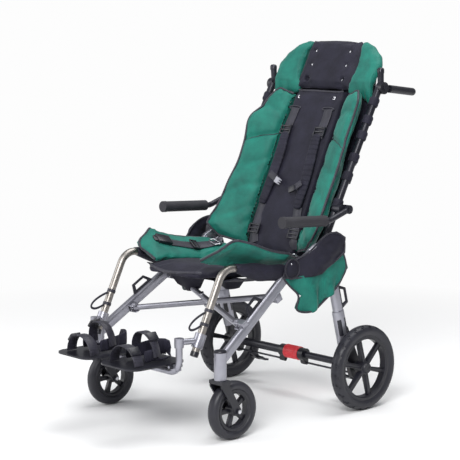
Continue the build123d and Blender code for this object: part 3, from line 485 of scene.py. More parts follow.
# Cushions: the CAD form is copied, remeshed and blown up a little as sewn cloth
cushions = {
    "backPad": {"from": "back_pad", "slot": "black_cloth", "voxel": 6, "shrink": 2, "cap": 7},
    "headPad": {"from": "head_pad", "slot": "black_cloth", "voxel": 5, "shrink": 2, "cap": 6},
    "wing_left": {"from": "back_wing_left", "slot": "green_cloth", "voxel": 6, "shrink": 3, "cap": 9},
    "wing_right": {"from": "back_wing_right", "slot": "green_cloth", "voxel": 6, "shrink": 3, "cap": 9},
    "headWings": {"from": "head_wings", "slot": "green_cloth", "voxel": 6, "shrink": 2, "cap": 8},
    "seatPad": {"from": "seat_pad", "slot": "black_cloth", "voxel": 6, "shrink": 2, "cap": 6},
    "seatFlaps": {"from": "seat_flaps", "slot": "green_cloth", "voxel": 5, "shrink": 1.5, "cap": 6},
}
puffFrames = 20
puff = {
    "quality": 4, "mass": 0.25, "use_pressure": True, "uniform_pressure_force": 4.0, "tension_stiffness": 12,
    "compression_stiffness": 12, "bending_stiffness": 0.6, "vertex_group_mass": "held",
}


def normalsOf(piece):
    return [v.normal.copy() for v in piece.data.vertices]


def solidMesh(nodeName):
    source = nodes[nodeName]
    bm = bmesh.new()
    bm.from_mesh(source.data)
    bm.transform(source.matrix_world)
    bmesh.ops.remove_doubles(bm, verts=bm.verts, dist=1e-5)
    return bm


def copySolid(name, nodeName, voxel, shrink):
    bm = solidMesh(nodeName)
    bmesh.ops.recalc_face_normals(bm, faces=bm.faces)
    piece = addObject(name, meshFrom(name, bm))
    skin = piece.modifiers.new("skin", "REMESH")
    skin.mode = "VOXEL"
    skin.voxel_size = voxel * mm
    bakeModifiers(piece)
    for spot, normal in zip(piece.data.vertices, normalsOf(piece)):
        spot.co -= normal * (shrink * mm)
    return piece


def bakeModifiers(piece):
    graph = bpy.context.evaluated_depsgraph_get()
    fresh = bpy.data.meshes.new_from_object(piece.evaluated_get(graph))
    piece.modifiers.clear()
    old = piece.data
    piece.data = fresh
    bpy.data.meshes.remove(old)


# The side of a cushion that is sewn to its backing begins at this depth, in metres from the back plane
heldDepth = {"backPad": -0.034, "headPad": -0.036}


def isHeld(key, spot):
    if key in heldDepth:
        return (spot - backRef).dot(backOut) < heldDepth[key]
    return key == "seatPad" and spot.z < 0.478 - (spot.y + 0.04) * 0.1


soft = {}
for key, pad in cushions.items():
    soft[key] = copySolid(key, pad["from"], pad["voxel"], pad["shrink"])
    held = [v.index for v in soft[key].data.vertices if isHeld(key, v.co)]
    group = soft[key].vertex_groups.new(name="held")
    group.add(held, 1.0, "REPLACE")
starts = {key: [v.co.copy() for v in piece.data.vertices] for key, piece in soft.items()}
for key, piece in soft.items():
    cloth = piece.modifiers.new("cloth", "CLOTH")
    for setting, value in puff.items():
        setattr(cloth.settings, setting, value)
    cloth.settings.effector_weights.gravity = 0.0
    cloth.collision_settings.use_collision = False
    cloth.point_cache.frame_start = 1
    cloth.point_cache.frame_end = puffFrames
for step in range(1, puffFrames + 1):
    scene.frame_set(step)
for key, piece in soft.items():
    bakeModifiers(piece)
scene.frame_set(1)
for key, piece in soft.items():
    limit = cushions[key]["cap"] * mm
    for spot, start in zip(piece.data.vertices, starts[key]):
        grown = spot.co - start
        if grown.length > limit:
            spot.co = start + grown * (limit / grown.length)
    ease = piece.modifiers.new("ease", "SMOOTH")
    ease.factor = 0.5
    ease.iterations = 3
    bakeModifiers(piece)
print("cushions settled")


def near(value, middle, half):
    return exp(-((value - middle) / half) ** 2)


def ramp(value, low, high):
    return max(0.0, min(1.0, (value - low) / (high - low)))


def gap(spot, path):
    best = 1.0
    for a, b in zip(path, path[1:]):
        run = b - a
        share = ramp((spot - a).dot(run), 0, run.length_squared)
        best = min(best, (spot - a - run * share).length)
    return best


def pressIn(piece, path, depth, half, facing, reach=0.05):
    # A sewn seam or fold: the cloth drawn in along a line
    for spot, normal in zip(piece.data.vertices, normalsOf(piece)):
        if normal.dot(facing) < 0.2:
            continue
        away = gap(spot.co, path)
        if away < reach:
            spot.co -= facing * (depth * mm * exp(-(away / (half * mm)) ** 2))
    piece.data.update()


def rumple(piece, amount, stretch, seed):
    for spot, normal in zip(piece.data.vertices, normalsOf(piece)):
        place = spot.co * Vector(stretch) + Vector(seed)
        spot.co += normal * (amount * mm * noise.noise(place))
    piece.data.update()


def reshape(piece, move):
    for spot in piece.data.vertices:
        flat = spot.co - backRef
        spot.co = onBack(*move(flat.x / mm, flat.dot(backUp) / mm, flat.dot(backOut) / mm))
    piece.data.update()


def backRun(spots, sign=1):
    return [onBack(sign * x, t, n) for x, t, n in spots]


def wingSpot(x, t, n):
    # The cloth hangs a little differently on the two sides
    reach = ramp(abs(x), 130, 250)
    if x < 0:
        n += reach * (20 * near(t, 426, 44) + 24 * near(t, 6, 48))
        n -= reach * 12 * (near(t, 275, 70) + near(t, 506, 36))
        x += reach * 18 * ramp(t, 448, 486)
    else:
        n -= reach * 18 * ramp(t, 360, 220)
    t += reach * 16 * ramp(t, 490, 545)
    # Room beside the back tubes, which the folding wings pass closely
    tubeFront = 24 - 0.049 * t
    room = ramp(n, tubeFront + 26, tubeFront + 8) * ramp(abs(x), 205, 250)
    return x * (1 - 0.07 * room), t, n


# The head cushions stretch in height about this line of the back plane
headFoot = 582
headStretch = 1.07


def headPadSpot(x, t, n):
    bow = (x / 126) ** 4
    t -= 7 * bow * ramp(t, 700, 762)
    return x * 1.12, headFoot + (t - headFoot) * headStretch, n + 9 - 5 * bow


def headWingSpot(x, t, n):
    low = ramp(t, 598, 584)
    room = ramp(t, 662, 624) * ramp(n, 16, -4)
    t += 4 * ramp(t, 700, 762) * ramp(abs(x), 200, 140)
    t = headFoot + (t - headFoot) * headStretch - low * 62
    n = (n + 30) * (1 - 0.35 * low) - 30 - low * 20 + 4 * (1 - low)
    return x * (1.045 - 0.065 * max(room, low)), t, n


def flapSpot(spot):
    x, y, z = spot
    x *= 1 - 0.05 * ramp(y, 0.0, 0.045) * ramp(abs(x), 0.18, 0.25)
    if x < 0:
        outer = ramp(-x, 0.17, 0.21)
        z += (0.038 - 0.02 * outer) * ramp(y, 0.0, 0.09)
        y += 0.058 * (1 - 0.4 * outer) * ramp(y, 0.02, 0.096)
        if y < -0.1:
            y = -0.1 + (y + 0.1) * (0.84 - 0.5 * ramp(z, 0.555, 0.605))
    else:
        z += 0.034 * ramp(-y, 0.1, 0.24)
        y -= 0.03 * ramp(-y, 0.15, 0.24)
    return Vector((x, y, z))


for side, sign in sides:
    reshape(soft[f"wing_{side}"], wingSpot)
reshape(soft["headPad"], headPadSpot)
reshape(soft["headWings"], headWingSpot)
for spot in soft["seatFlaps"].data.vertices:
    spot.co = flapSpot(spot.co)

# Seams, folds and tufts
tufts = {"x": 82, "n": -14, "rows": (616, 670, 723)}
wingSeam = ((262, 344, 62), (190, 372, 34), (130, 396, 4))
wingFolds = (
    ((132, 120, 4), (180, 84, 30), (250, 20, 80)), ((132, 64, 4), (170, 30, 22), (215, -12, 50)),
    ((132, 205, 4), (190, 180, 34), (252, 132, 70)), ((140, 300, 6), (200, 262, 34), (254, 240, 62)),
    ((134, 470, 4), (190, 486, 28), (246, 470, 50)),
)
rumple(soft["backPad"], 3.0, (9, 14, 14), (3, 1, 7))
rumple(soft["headPad"], 2.5, (16, 16, 16), (5, 2, 1))
rumple(soft["seatPad"], 3.0, (12, 14, 12), (1, 6, 2))
for spot in soft["seatPad"].data.vertices:
    # Room under the pad for the brace bars at full fold
    x, y, z = spot.co
    room = ramp(abs(x), 0.1, 0.125) * ramp(abs(x), 0.185, 0.155) * ramp(abs(y), 0.08, 0.035)
    spot.co.z = max(z, 0.455 + 0.031 * room)
rumple(soft["seatFlaps"], 3.5, (16, 13, 16), (8, 3, 4))
rumple(soft["headWings"], 3.0, (15, 15, 15), (2, 9, 5))
for side, sign in sides:
    wing = soft[f"wing_{side}"]
    rumple(wing, 4.0, (13, 10, 10), (sign * 4, 2, 3))
    facing = (backOut - Vector((sign * 0.45, 0, 0))).normalized()
    pressIn(wing, [onBack(sign * 124, t, 0) for t in (-40, 200, 400, 580)], 16, 22, backOut)
    pressIn(wing, backRun(wingSeam, sign), 9, 10, facing)
    for fold in wingFolds:
        pressIn(wing, backRun(fold, sign), 5, 13, facing)
    x = tufts["x"]
    n = tufts["n"]
    rows = [(x, t, n) for t in (590, *tufts["rows"], 756)]
    pressIn(soft["headPad"], backRun(rows, sign), 5, 14, backOut)
    for t in tufts["rows"]:
        pressIn(soft["headPad"], backRun([(x, t, n), (x, t + 1, n)], sign), 10, 12, backOut)
        pressIn(soft["headPad"], backRun([(x, t, n), (x + 40, t + 4, n)], sign), 3, 9, backOut)
for key, pad in cushions.items():
    dressPiece(soft[key], pad["slot"], "seat" if "seat" in key else "back", [pad["from"]])
trees = {}
for key, piece in soft.items():
    bm = bmesh.new()
    bm.from_mesh(piece.data)
    trees[key] = BVHTree.FromBMesh(bm)
    bm.free()
print("seams sewn")


def snap(key, places, lift=1.0):
    hits = [trees[key].find_nearest(place) for place in places]
    return [hit[0] + hit[1] * (lift * mm) for hit in hits]


def onPad(x, t, lift, key="backPad"):
    # A point on the front of a back cushion
    spot = trees[key].ray_cast(onBack(x, t, 160), -backOut)[0]
    if spot is None:
        spot = trees[key].find_nearest(onBack(x, t, 0))[0]
    return spot + backOut * (lift * mm)


def onSeat(x, y, lift):
    # A point on the top of the seat cushions
    hits = [trees[key].ray_cast(pt(x, y, 900), -zAxis)[0] for key in ("seatPad", "seatFlaps")]
    top = max((hit.z for hit in hits if hit), default=0.515)
    return pt(x, y, lift) + zAxis * top


# Piping along the cushion edges
pipingRadius = 4.2
wingEdge = [
    (136, -36, 0), (172, -34, 22), (211, -28, 48), (249, 4, 82), (257, 44, 82), (257, 110, 72),
    (257, 200, 66), (256, 290, 60), (253, 410, 54), (243, 520, 40), (225, 552, 26), (203, 569, 16),
    (165, 576, 2), (132, 578, -4),
]
seamLine = [(252, 346, 60), (222, 358, 46), (190, 372, 30), (160, 384, 14), (134, 394, 2)]
for name, line, lift, radius, steps in (
    ("wingPiping", wingEdge, 1.0, pipingRadius, 3), ("wingSeam", seamLine, -0.4, 1.5, 2),
):
    for side, sign in sides:
        run = smoothRun([onBack(*wingSpot(sign * x, t, n)) for x, t, n in line])
        addPiping(f"{name}_{side}", snap(f"wing_{side}", run, lift), radius, "back", sides=steps)
edge = [onBack(x, 574 + 4 * (1 - (x / 120) ** 2), -6) for x in range(-122, 123, 12)]
addPiping("backTopPiping", snap("backPad", edge), pipingRadius, "back")
flapEdge = [
    (146, -252, 520), (205, -252, 542), (258, -250, 569), (272, -228, 596), (280, -205, 612),
    (284, -160, 606), (284, -110, 597), (284, -50, 583), (284, 0, 569), (274, 34, 559), (260, 62, 550),
    (257, 96, 536),
]
for side, sign in sides:
    edge = smoothRun([flapSpot(pt(sign * x, y, z)) for x, y, z in flapEdge])
    addPiping(f"flapPiping_{side}", snap("seatFlaps", edge), pipingRadius, "seat")
hem = mirrored([(-148, -256, 518), (-110, -268, 512), (-60, -280, 506), (0, -286, 502)])
edge = smoothRun([pt(*spot) for spot in hem])
addPiping("seatHem", snap("seatPad", edge), 5, "seat")
print("piping laid")

# Shoulder harness: webbing, padded sleeves, ladder locks
harness = {"w": 38, "t": 2.6, "padW": 50, "padT": 15}
shoulder = {
    -1: {"top": [(-76, 494), (-78, 470), (-82, 440), (-86, 412), (-84, 385)],
         "pad": [(-82, 398), (-76, 340), (-72, 260), (-78, 190), (-90, 125)],
         "low": [(-90, 130), (-92, 91), (-86, 46), (-82, 14), (-70, -16)]},
    1: {"top": [(86, 494), (88, 470), (86, 440), (82, 412), (80, 385)],
        "pad": [(78, 398), (80, 345), (88, 260), (90, 190), (88, 120)],
        "low": [(88, 127), (96, 76), (104, 33), (108, 4), (112, -18)]},
}
for side, sign in sides:
    paths = shoulder[sign]
    bm = bmesh.new()
    for part, lift in (("top", 3), ("low", 4)):
        run = smoothRun([onPad(x, t, lift) for x, t in paths[part]])
        addRibbon(bm, run, backOut, harness["w"], harness["t"])
    stands = ["harness"] if sign > 0 else []
    addPiece(f"shoulderStrap_{side}", bm, "webbing", "back", stands, sharp=50)
    bm = bmesh.new()
    run = smoothRun([onPad(x, t, 9) for x, t in paths["pad"]])
    shares = [0.12 + 0.88 * i / len(run) for i in range(len(run))]
    widths = [harness["padW"] * (0.72 + 0.28 * sin(pi * share)) for share in shares]
    addRibbon(bm, run, backOut, harness["padW"], harness["padT"], widths)
    sleeve = addPiece(f"shoulderPad_{side}", bm, "black_cloth", "back")
    roundOff(sleeve, 2)
    bm = bmesh.new()
    turn = axesFrom(backOut, xAxis)
    for x, t in ((paths["top"][3][0], 408), (paths["low"][2][0], 34)):
        mid = onPad(x, t, 8)
        for off in (-14, 0, 14):
            addBlock(bm, mid + backUp * (off * mm), (50, 6, 6), turn, 2)
        for across in (-23, 23):
            addBlock(bm, mid + xAxis * (across * mm), (6, 36, 6), turn, 2)
    addPiece(f"ladderLock_{side}", bm, "black_plastic", "back", sharp=40)
print("harness laid")

# Chest strap halves with their buckle, strap slots, eyelets and tuft rivets
bm = bmesh.new()
for run in ([(-78, 236), (-54, 226), (-32, 214)], [(86, 214), (72, 202), (58, 190)]):
    places = smoothRun([onPad(x, t, 20) for x, t in run])
    addRibbon(bm, places, backOut, 24, 2.4)
addPiece("chestStraps", bm, "webbing", "back", sharp=50)
bm = bmesh.new()
buckleTurn = axesFrom(backOut, Vector((1, 0, -0.4)))
addBlock(bm, onPad(-29, 212, 21), (22, 22, 7), buckleTurn, 2.4)
for off in (-8, 0, 8):
    mid = onPad(-18, 208, 21) + buckleTurn @ Vector((0, off * mm, 0))
    addBlock(bm, mid, (18, 4, 5), buckleTurn, 1.4)
addPiece("chestBuckleHalf", bm, "grey_plastic", "back", sharp=40)
bm = bmesh.new()
addBlock(bm, onPad(54, 187, 21), (30, 24, 8), axesFrom(backOut, Vector((1, 0, 0.5))), 2.6)
addPiece("chestBuckleTongue", bm, "black_plastic", "back", sharp=40)
bm = bmesh.new()
for sign in (-1, 1):
    mid = onPad(sign * 82, 496, 1)
    loop = ringRun(mid, xAxis * (28 * mm), backUp * (6 * mm), 16)
    addTube(bm, loop, 2.2, closed=True, sides=2)
addPiece("strapSlots", bm, "webbing", "back")
bm = bmesh.new()
for sign in (-1, 1):
    spot = onPad(sign * 86, 540, 0)
    addLathe(bm, [(0, 3), (1.6, 3.4), (1.6, 6), (0, 7)], spot, backOut, 20)
    for t in tufts["rows"]:
        spot = onPad(sign * tufts["x"], t, 0, "headPad")
        addLathe(bm, [(-1, 4.5), (1.4, 4.2), (2.4, 2.4), (2.6, 0)], spot, backOut, 16)
addPiece("eyeletsAndTufts", bm, "steel", "back", sharp=40)
print("harness trimmed")

# Lap belt: each half lies along its flap, with a slide, a ring and half of the buckle
beltRuns = {
    1: [(196, 104), (206, 74), (204, 30), (186, -16), (160, -56), (128, -84)],
    -1: [(-172, 104), (-180, 74), (-188, 24), (-196, -30), (-204, -74), (-208, -108)],
}
for side, sign in sides:
    run = smoothRun([onSeat(x, y, 4) for x, y in beltRuns[sign]], 2)
    normals = [trees["seatFlaps"].find_nearest(place)[1] for place in run]
    facings = [normal if normal.z > 0.3 else zAxis for normal in normals]
    bm = bmesh.new()
    addRibbon(bm, run, facings, harness["w"], harness["t"])
    stands = ["lap_belt"] if sign > 0 else []
    addPiece(f"lapBelt_{side}", bm, "webbing", "seat", stands, sharp=50)
    along = (run[-1] - run[-3]).normalized()
    tip = axesFrom(facings[-1], along)
    bm = bmesh.new()
    addBlock(bm, run[-1] + along * 0.02 + zAxis * 0.006, (58, 44, 13), tip, 4)
    addBlock(bm, run[-1] + along * 0.05 + zAxis * 0.005, (22, 30, 8), tip, 3)
    middle = len(run) // 2
    slide = axesFrom(facings[middle], run[middle + 1] - run[middle - 1])
    for off in (-13, 0, 13):
        addBlock(bm, run[middle] + slide @ Vector((off * mm, 0, 0.004)), (5, 48, 5), slide, 1.6)
    for off in (-22, 22):
        addBlock(bm, run[middle] + slide @ Vector((0, off * mm, 0.004)), (30, 5, 5), slide, 1.6)
    addPiece(f"lapBuckle_{side}", bm, "black_plastic", "seat", sharp=40)
    bm = bmesh.new()
    turn = axesFrom(facings[3], run[4] - run[2])
    corners = [(-12, -24), (12, -24), (12, 24), (-12, 24)]
    loop = [run[3] + turn @ Vector((u * mm, v * mm, 0.004)) for u, v in corners]
    loop = [loop[i] * (1 - s) + loop[(i + 1) % 4] * s for i in range(4) for s in (0.08, 0.5, 0.92)]
    addTube(bm, loop, 2.4, closed=True, sides=2)
    addPiece(f"lapRing_{side}", bm, "steel", "seat")
print("lap belt laid")

# Under-seat sling and its hanging flaps
slingSize = {"half": 226, "flat": 150, "mid": -115, "deep": 150, "rise": 24}
bm = bmesh.new()
for spot in addGrid(bm, 40, 16):
    u = spot.co.x * 2
    x = u * slingSize["half"]
    y = slingSize["mid"] + spot.co.y * slingSize["deep"]
    edge = ramp(abs(x), slingSize["flat"], slingSize["half"])
    low = 481 - (y + 190) * 0.088 - 5
    spot.co = pt(x, y, low + edge * slingSize["rise"] - 6 * cos(u * 7) * cos(y * 0.04))
sling = addPiece("seatSling", bm, "black_cloth", "seat", ["seat_sling"])
thicken(sling, 2.4)
for name, x0, x1, y, top, drop in (("front", -205, 5, -125, 471, 66), ("rear", -60, 140, -72, 466, 44)):
    bm = bmesh.new()
    for spot in addGrid(bm, 30, 8):
        u = spot.co.x + 0.5
        v = 0.5 - spot.co.y
        narrow = 0.5 + (u - 0.5) * (1 - 0.45 * v)
        x = x0 + (x1 - x0) * narrow
        hang = drop * v * (0.75 + 0.25 * sin(u * 3.1))
        spot.co = pt(x, y + 14 * v + 5 * sin(u * 9) * v, top - hang)
    piece = addPiece(f"underFlap_{name}", bm, "black_cloth", "seat")
    thicken(piece, 2)
print("sling hung")

# Backing panel and the cloth sleeves round the back tubes
panelSize = {"half": 216, "low": -75, "tall": 783, "taper": (560, 708), "n": -49}
bm = bmesh.new()
for spot in addGrid(bm, 48, 72):
    u = spot.co.x * 2
    t = panelSize["low"] + (spot.co.y + 0.5) * panelSize["tall"]
    wide = panelSize["half"] - 34 * ramp(t, *panelSize["taper"]) ** 2
    pucker = 3 * noise.noise(Vector((u * 3, t * 0.012, 4))) - 5 * (1 - abs(u)) * (1 - (t / 430 - 0.8) ** 2)
    spot.co = onBack(u * wide, t, panelSize["n"] + min(pucker, 0))
panel = addPiece("backPanel", bm, "black_cloth", "back", ["back_sling"])
thicken(panel, 2.4)
tubeLean = radians(27.5)
tubeDir = Vector((0, sin(tubeLean), cos(tubeLean)))
sleeves = {"half": 15, "at": (150, 251, 319, 403, 461, 529)}
half = sleeves["half"]
wrap = [
    (-half, 14), (-half, 16), (-half * 0.6, 17.8), (0, 17), (half * 0.6, 18), (half, 16), (half, 14),
]
for side, sign in sides:
    elbow = pt(sign * 263, 174, 574)
    bm = bmesh.new()
    for along in sleeves["at"]:
        mid = elbow + tubeDir * (along * mm)
        addLathe(bm, wrap, mid, tubeDir, 24, closed=True)
        t = (mid - backRef).dot(backUp) / mm
        tabs = [mid, onBack(sign * 236, t, -52), onBack(sign * 206, t, -50)]
        addRibbon(bm, tabs, tubeDir.cross(xAxis), half * 1.5, 2.4)
    addPiece(f"tubeSleeves_{side}", bm, "black_cloth", f"{side}_back", sharp=60)
print("back panel hung")

# Side cloths: rail sleeve, hub cover, pocket panel and hanging skirt
skirtLine = [
    (-26, 482), (8, 446), (42, 420), (18, 381), (32, 365), (74, 362), (114, 384), (204, 434), (218, 466),
    (248, 493), (224, 556), (112, 496), (30, 484),
]
pocketLine = [
    (-30, 488), (30, 477), (112, 488), (220, 550), (230, 600), (190, 623), (140, 618), (100, 597),
    (64, 562), (20, 540), (-16, 528),
]
cover = {"x": 287, "y": 6, "z": 512, "r": 33}
edging = {"skirt": 3.6, "pocket": 3.0, "hub": 2.2}
sheet = {"cuts": 7, "longest": 0.011}


def sheetFromLine(line, place):
    bm = bmesh.new()
    ring = [bm.verts.new(Vector((y * mm, z * mm, 0))) for y, z in line]
    bm.faces.new(ring)
    bmesh.ops.triangulate(bm, faces=bm.faces)
    for cut in range(sheet["cuts"]):
        long = [e for e in bm.edges if e.calc_length() > sheet["longest"]]
        bmesh.ops.subdivide_edges(bm, edges=long, cuts=1)
        bmesh.ops.triangulate(bm, faces=[f for f in bm.faces if len(f.verts) > 3])
        inner = [v for v in bm.verts if not v.is_boundary]
        bmesh.ops.smooth_vert(bm, verts=inner, factor=0.5, use_axis_x=True, use_axis_y=True, use_axis_z=True)
    for spot in bm.verts:
        spot.co = place(spot.co.x / mm, spot.co.y / mm)
    return bm


for side, sign in sides:
    body = f"{side}_frame"

    def skirtSpot(y, z):
        wave = 7 * sin(y * 0.075 + z * 0.02) + 3 * sin(y * 0.16 - z * 0.03)
        hang = ramp(z, 484, 414)
        return pt(sign * (279 + 29 * ramp(y, 14, 74) + hang * (wave + 4)), y, z)

    def pocketSpot(y, z):
        bulge = max(0.0, 1 - ((y - 150) / 112) ** 2) * max(0.0, 1 - ((z - 530) / 84) ** 2)
        fold = 5 * sin(0.075 * (z - 0.75 * y)) + 2.5 * sin(0.15 * (z + 0.2 * y))
        return pt(sign * (281 + 29 * ramp(y, 26, 80) + 15 * bulge + fold * bulge), y, z)

    skirt = addPiece(
        f"skirt_{side}", sheetFromLine(skirtLine, skirtSpot), "green_cloth", body, [f"side_skirt_{side}"],
    )
    thicken(skirt, 2, 0)
    bm = bmesh.new()
    for line, spotAt in ((skirtLine[:10] + [(223, 550)], skirtSpot), (pocketLine[:4], pocketSpot)):
        addTube(bm, smoothRun([spotAt(y, z) for y, z in line], cuts=3), edging["skirt"], sides=2)
    addPiece(f"skirtPiping_{side}", bm, "webbing", body)
    pocket = addPiece(
        f"pocket_{side}", sheetFromLine(pocketLine, pocketSpot), "black_cloth", body, [f"side_cloth_{side}"],
    )
    thicken(pocket, 2.4, 0)
    hem = smoothRun([pocketSpot(y, z) for y, z in pocketLine[3:] + pocketLine[:1]], cuts=3)
    addPiping(f"pocketHem_{side}", hem, edging["pocket"], body, sides=2)
    bm = bmesh.new()
    disc = [(-8, 0), (-8, 31), (-6, 34), (-2, 34), (-0.5, 32), (-2.4, 30), (0, 27), (1.6, 16), (2, 0)]
    addLathe(bm, disc, pt(sign * cover["x"], cover["y"], cover["z"]), xAxis * sign, 40)
    addPiece(f"hubCover_{side}", bm, "black_cloth", body, sharp=50)
    centre = pt(sign * (cover["x"] + 0.5), cover["y"], cover["z"])
    rim = ringRun(centre, yAxis * (cover["r"] * mm), zAxis * (cover["r"] * mm), 24)
    addPiping(f"hubPiping_{side}", rim, edging["hub"], body, closed=True, sides=2)
    bm = bmesh.new()
    for y, z, x, r in ((0, 530, 289, 3.5), (190, 462, 303, 6)):
        head = [(-2, r), (0.6, r), (r * 0.5, r * 0.7), (r * 0.62, 0)]
        addLathe(bm, head, pt(sign * x, y, z), xAxis * sign, 16)
    addPiece(f"sideRivets_{side}", bm, "steel", body, sharp=50)
    bm = bmesh.new()
    spans = []
    for i in range(15):
        share = i / 14
        sag = 8 * sin(share * pi)
        mid = pt(sign * (258 - 4 * share), 4 - 222 * share, 500 + 36 * share - sag)
        tall = (24 + 1.6 * sin(share * 13) + 5 * sin(pi * share)) * (1 - 0.45 * share ** 6)
        spans.append((mid, xAxis * (20 + 1.4 * sin(share * 17 + 1)), zAxis * tall))
    addOval(bm, spans)
    addPiece(f"railSleeve_{side}", bm, "black_cloth", body)
print("side cloths hung")

# Foot holders: heel cup, ankle strap, toe strap, buckles
foot = {"mid": 113, "top": 251, "cup": 54, "cutTo": 7}
cupLine = mirrored([(-46, -520), (-48, -470), (-44, -420), (-28, -392), (0, -384)])
# Straps over the foot: width, thickness and line
arches = (
    (34, 5, mirrored([(-52, -470, 20), (-50, -474, 56), (-30, -480, 88), (0, -482, 97)])),
    (38, 4, mirrored([(-62, -552, 2), (-58, -553, 26), (-36, -555, 54), (0, -556, 63)])),
)
for side, sign in sides:
    body = f"{side}_footplate"

    def onFoot(x, y, z=0):
        return pt(sign * (foot["mid"] + x), y, foot["top"] + z)

    bm = bmesh.new()
    run = smoothRun([onFoot(*spot) for spot in cupLine])
    middle = onFoot(0, -470)
    facings = [(place - middle).normalized() for place in run]
    # The outer wall is cut low so that the flipped plate passes the foot arm
    heights = []
    for i, place in enumerate(run):
        outside = sign * place.x / mm - foot["mid"]
        low = ramp(outside, 2, 16) * ramp(place.y / mm, -482, -466)
        tall = foot["cup"] * (0.7 + 0.3 * sin(pi * i / (len(run) - 1)))
        heights.append(tall + (foot["cutTo"] - tall) * low)
        place.z += (5 + heights[-1] / 2) * mm
    addRibbon(bm, run, facings, foot["cup"], 6, heights)
    cup = addPiece(f"heelCup_{side}", bm, "black_cloth", body, [f"foot_straps_{side}"])
    roundOff(cup, 1)
    bm = bmesh.new()
    for wide, deep, spots in arches:
        run = smoothRun([onFoot(*spot) for spot in spots])
        centre = onFoot(0, spots[3][1], 20)
        addRibbon(bm, run, [(p - centre).normalized() for p in run], wide, deep)
    addPiece(f"footStraps_{side}", bm, "webbing", body, sharp=50)
    bm = bmesh.new()
    buckleTurn = axesFrom(Vector((sign * 0.75, 0, 0.66)), xAxis)
    for x, y, z in ((38, -478, 84), (44, -555, 48)):
        addBlock(bm, onFoot(x, y, z), (30, 38, 9), buckleTurn, 3)
    addPiece(f"footBuckles_{side}", bm, "black_plastic", body, sharp=40)
print("foot holders made")

# Red twist sleeve with grip ribs
lockCentre = pt(0, rearWheel["y"], rearWheel["z"])
bm = bmesh.new()
grip = mirrored([(-35, 18.6), (-35, 23), (-33, 24.6), (-24, 24.6), (-21, 23.2)])
addLathe(bm, grip, lockCentre, xAxis, 48, closed=True)
for out in ringRun(Vector((0, 0, 0)), yAxis, zAxis, 24):
    addBlock(bm, lockCentre + out * (23.3 * mm), (40, 2.4, 2.2), axesFrom(out, xAxis), 0.7)
thumb = Vector((0, 26, 5)) * mm
addBlock(bm, lockCentre + thumb, (52, 12, 12), corner=3)
addPiece("lockSleeve", bm, "red_plastic", "lock", ["lock_sleeve"], sharp=35)

# Crossbar halves: the left tube slides inside the right one
crossbar = {"x": 281.5, "outer": 14.6, "bore": 12.8, "inner": 12.2}
for side, sign in sides:
    outer = crossbar["inner"] if sign > 0 else crossbar["outer"]
    bore = outer - 2 if sign > 0 else crossbar["bore"]
    bm = bmesh.new()
    span = [(0, bore), (0, outer), (crossbar["x"], outer), (crossbar["x"], bore)]
    addLathe(bm, span, lockCentre, xAxis * sign, 32, closed=True)
    addPiece(f"crossbarTube_{side}", bm, "black_metal", f"{side}_frame", [f"crossbar_{side}"], sharp=40)

# Leg fittings: tie-down loops in black rod, brace brackets and leg sockets in silver
legRun = Vector((0, 0.247, -0.969))
cross = Vector((0, 0.969, 0.247))
for side, sign in sides:
    body = f"{side}_frame"
    bm = solidMesh(f"leg_fittings_{side}")
    pending = set(bm.verts)
    black = []
    while pending:
        group = [pending.pop()]
        for spot in group:
            others = {link.other_vert(spot) for link in spot.link_edges} & pending
            pending -= others
            group += others
        if min(abs(v.co.x) for v in group) > 0.255:
            black += group
    loops = bm.copy()
    chosen = {v.index for v in black}
    bmesh.ops.delete(loops, geom=[v for v in loops.verts if v.index not in chosen], context="VERTS")
    bmesh.ops.delete(bm, geom=black, context="VERTS")
    for shape in (loops, bm):
        bends = [e for e in shape.edges if e.is_manifold and e.calc_face_angle(0) > 0.6]
        bevelEdges(shape, bends, 1.6)
    addPiece(f"tieLoops_{side}", loops, "black_metal", body, [f"leg_fittings_{side}"], sharp=60)
    addPiece(f"braceBrackets_{side}", bm, "frame", body, sharp=60)
    bm = bmesh.new()
    spans = []
    for share in (0, 0.04, 0.5, 0.94, 1.0):
        mid = pt(sign * 290.5, 218.8, 347) + legRun * (share * 138 * mm)
        grow = 0.95 if share in (0, 1.0) else 1.0
        spans.append((mid, xAxis * 17.3 * grow, cross * 23.8 * grow))
    addOval(bm, spans)
    addPiece(f"legSocket_{side}", bm, "frame", body, sharp=60)

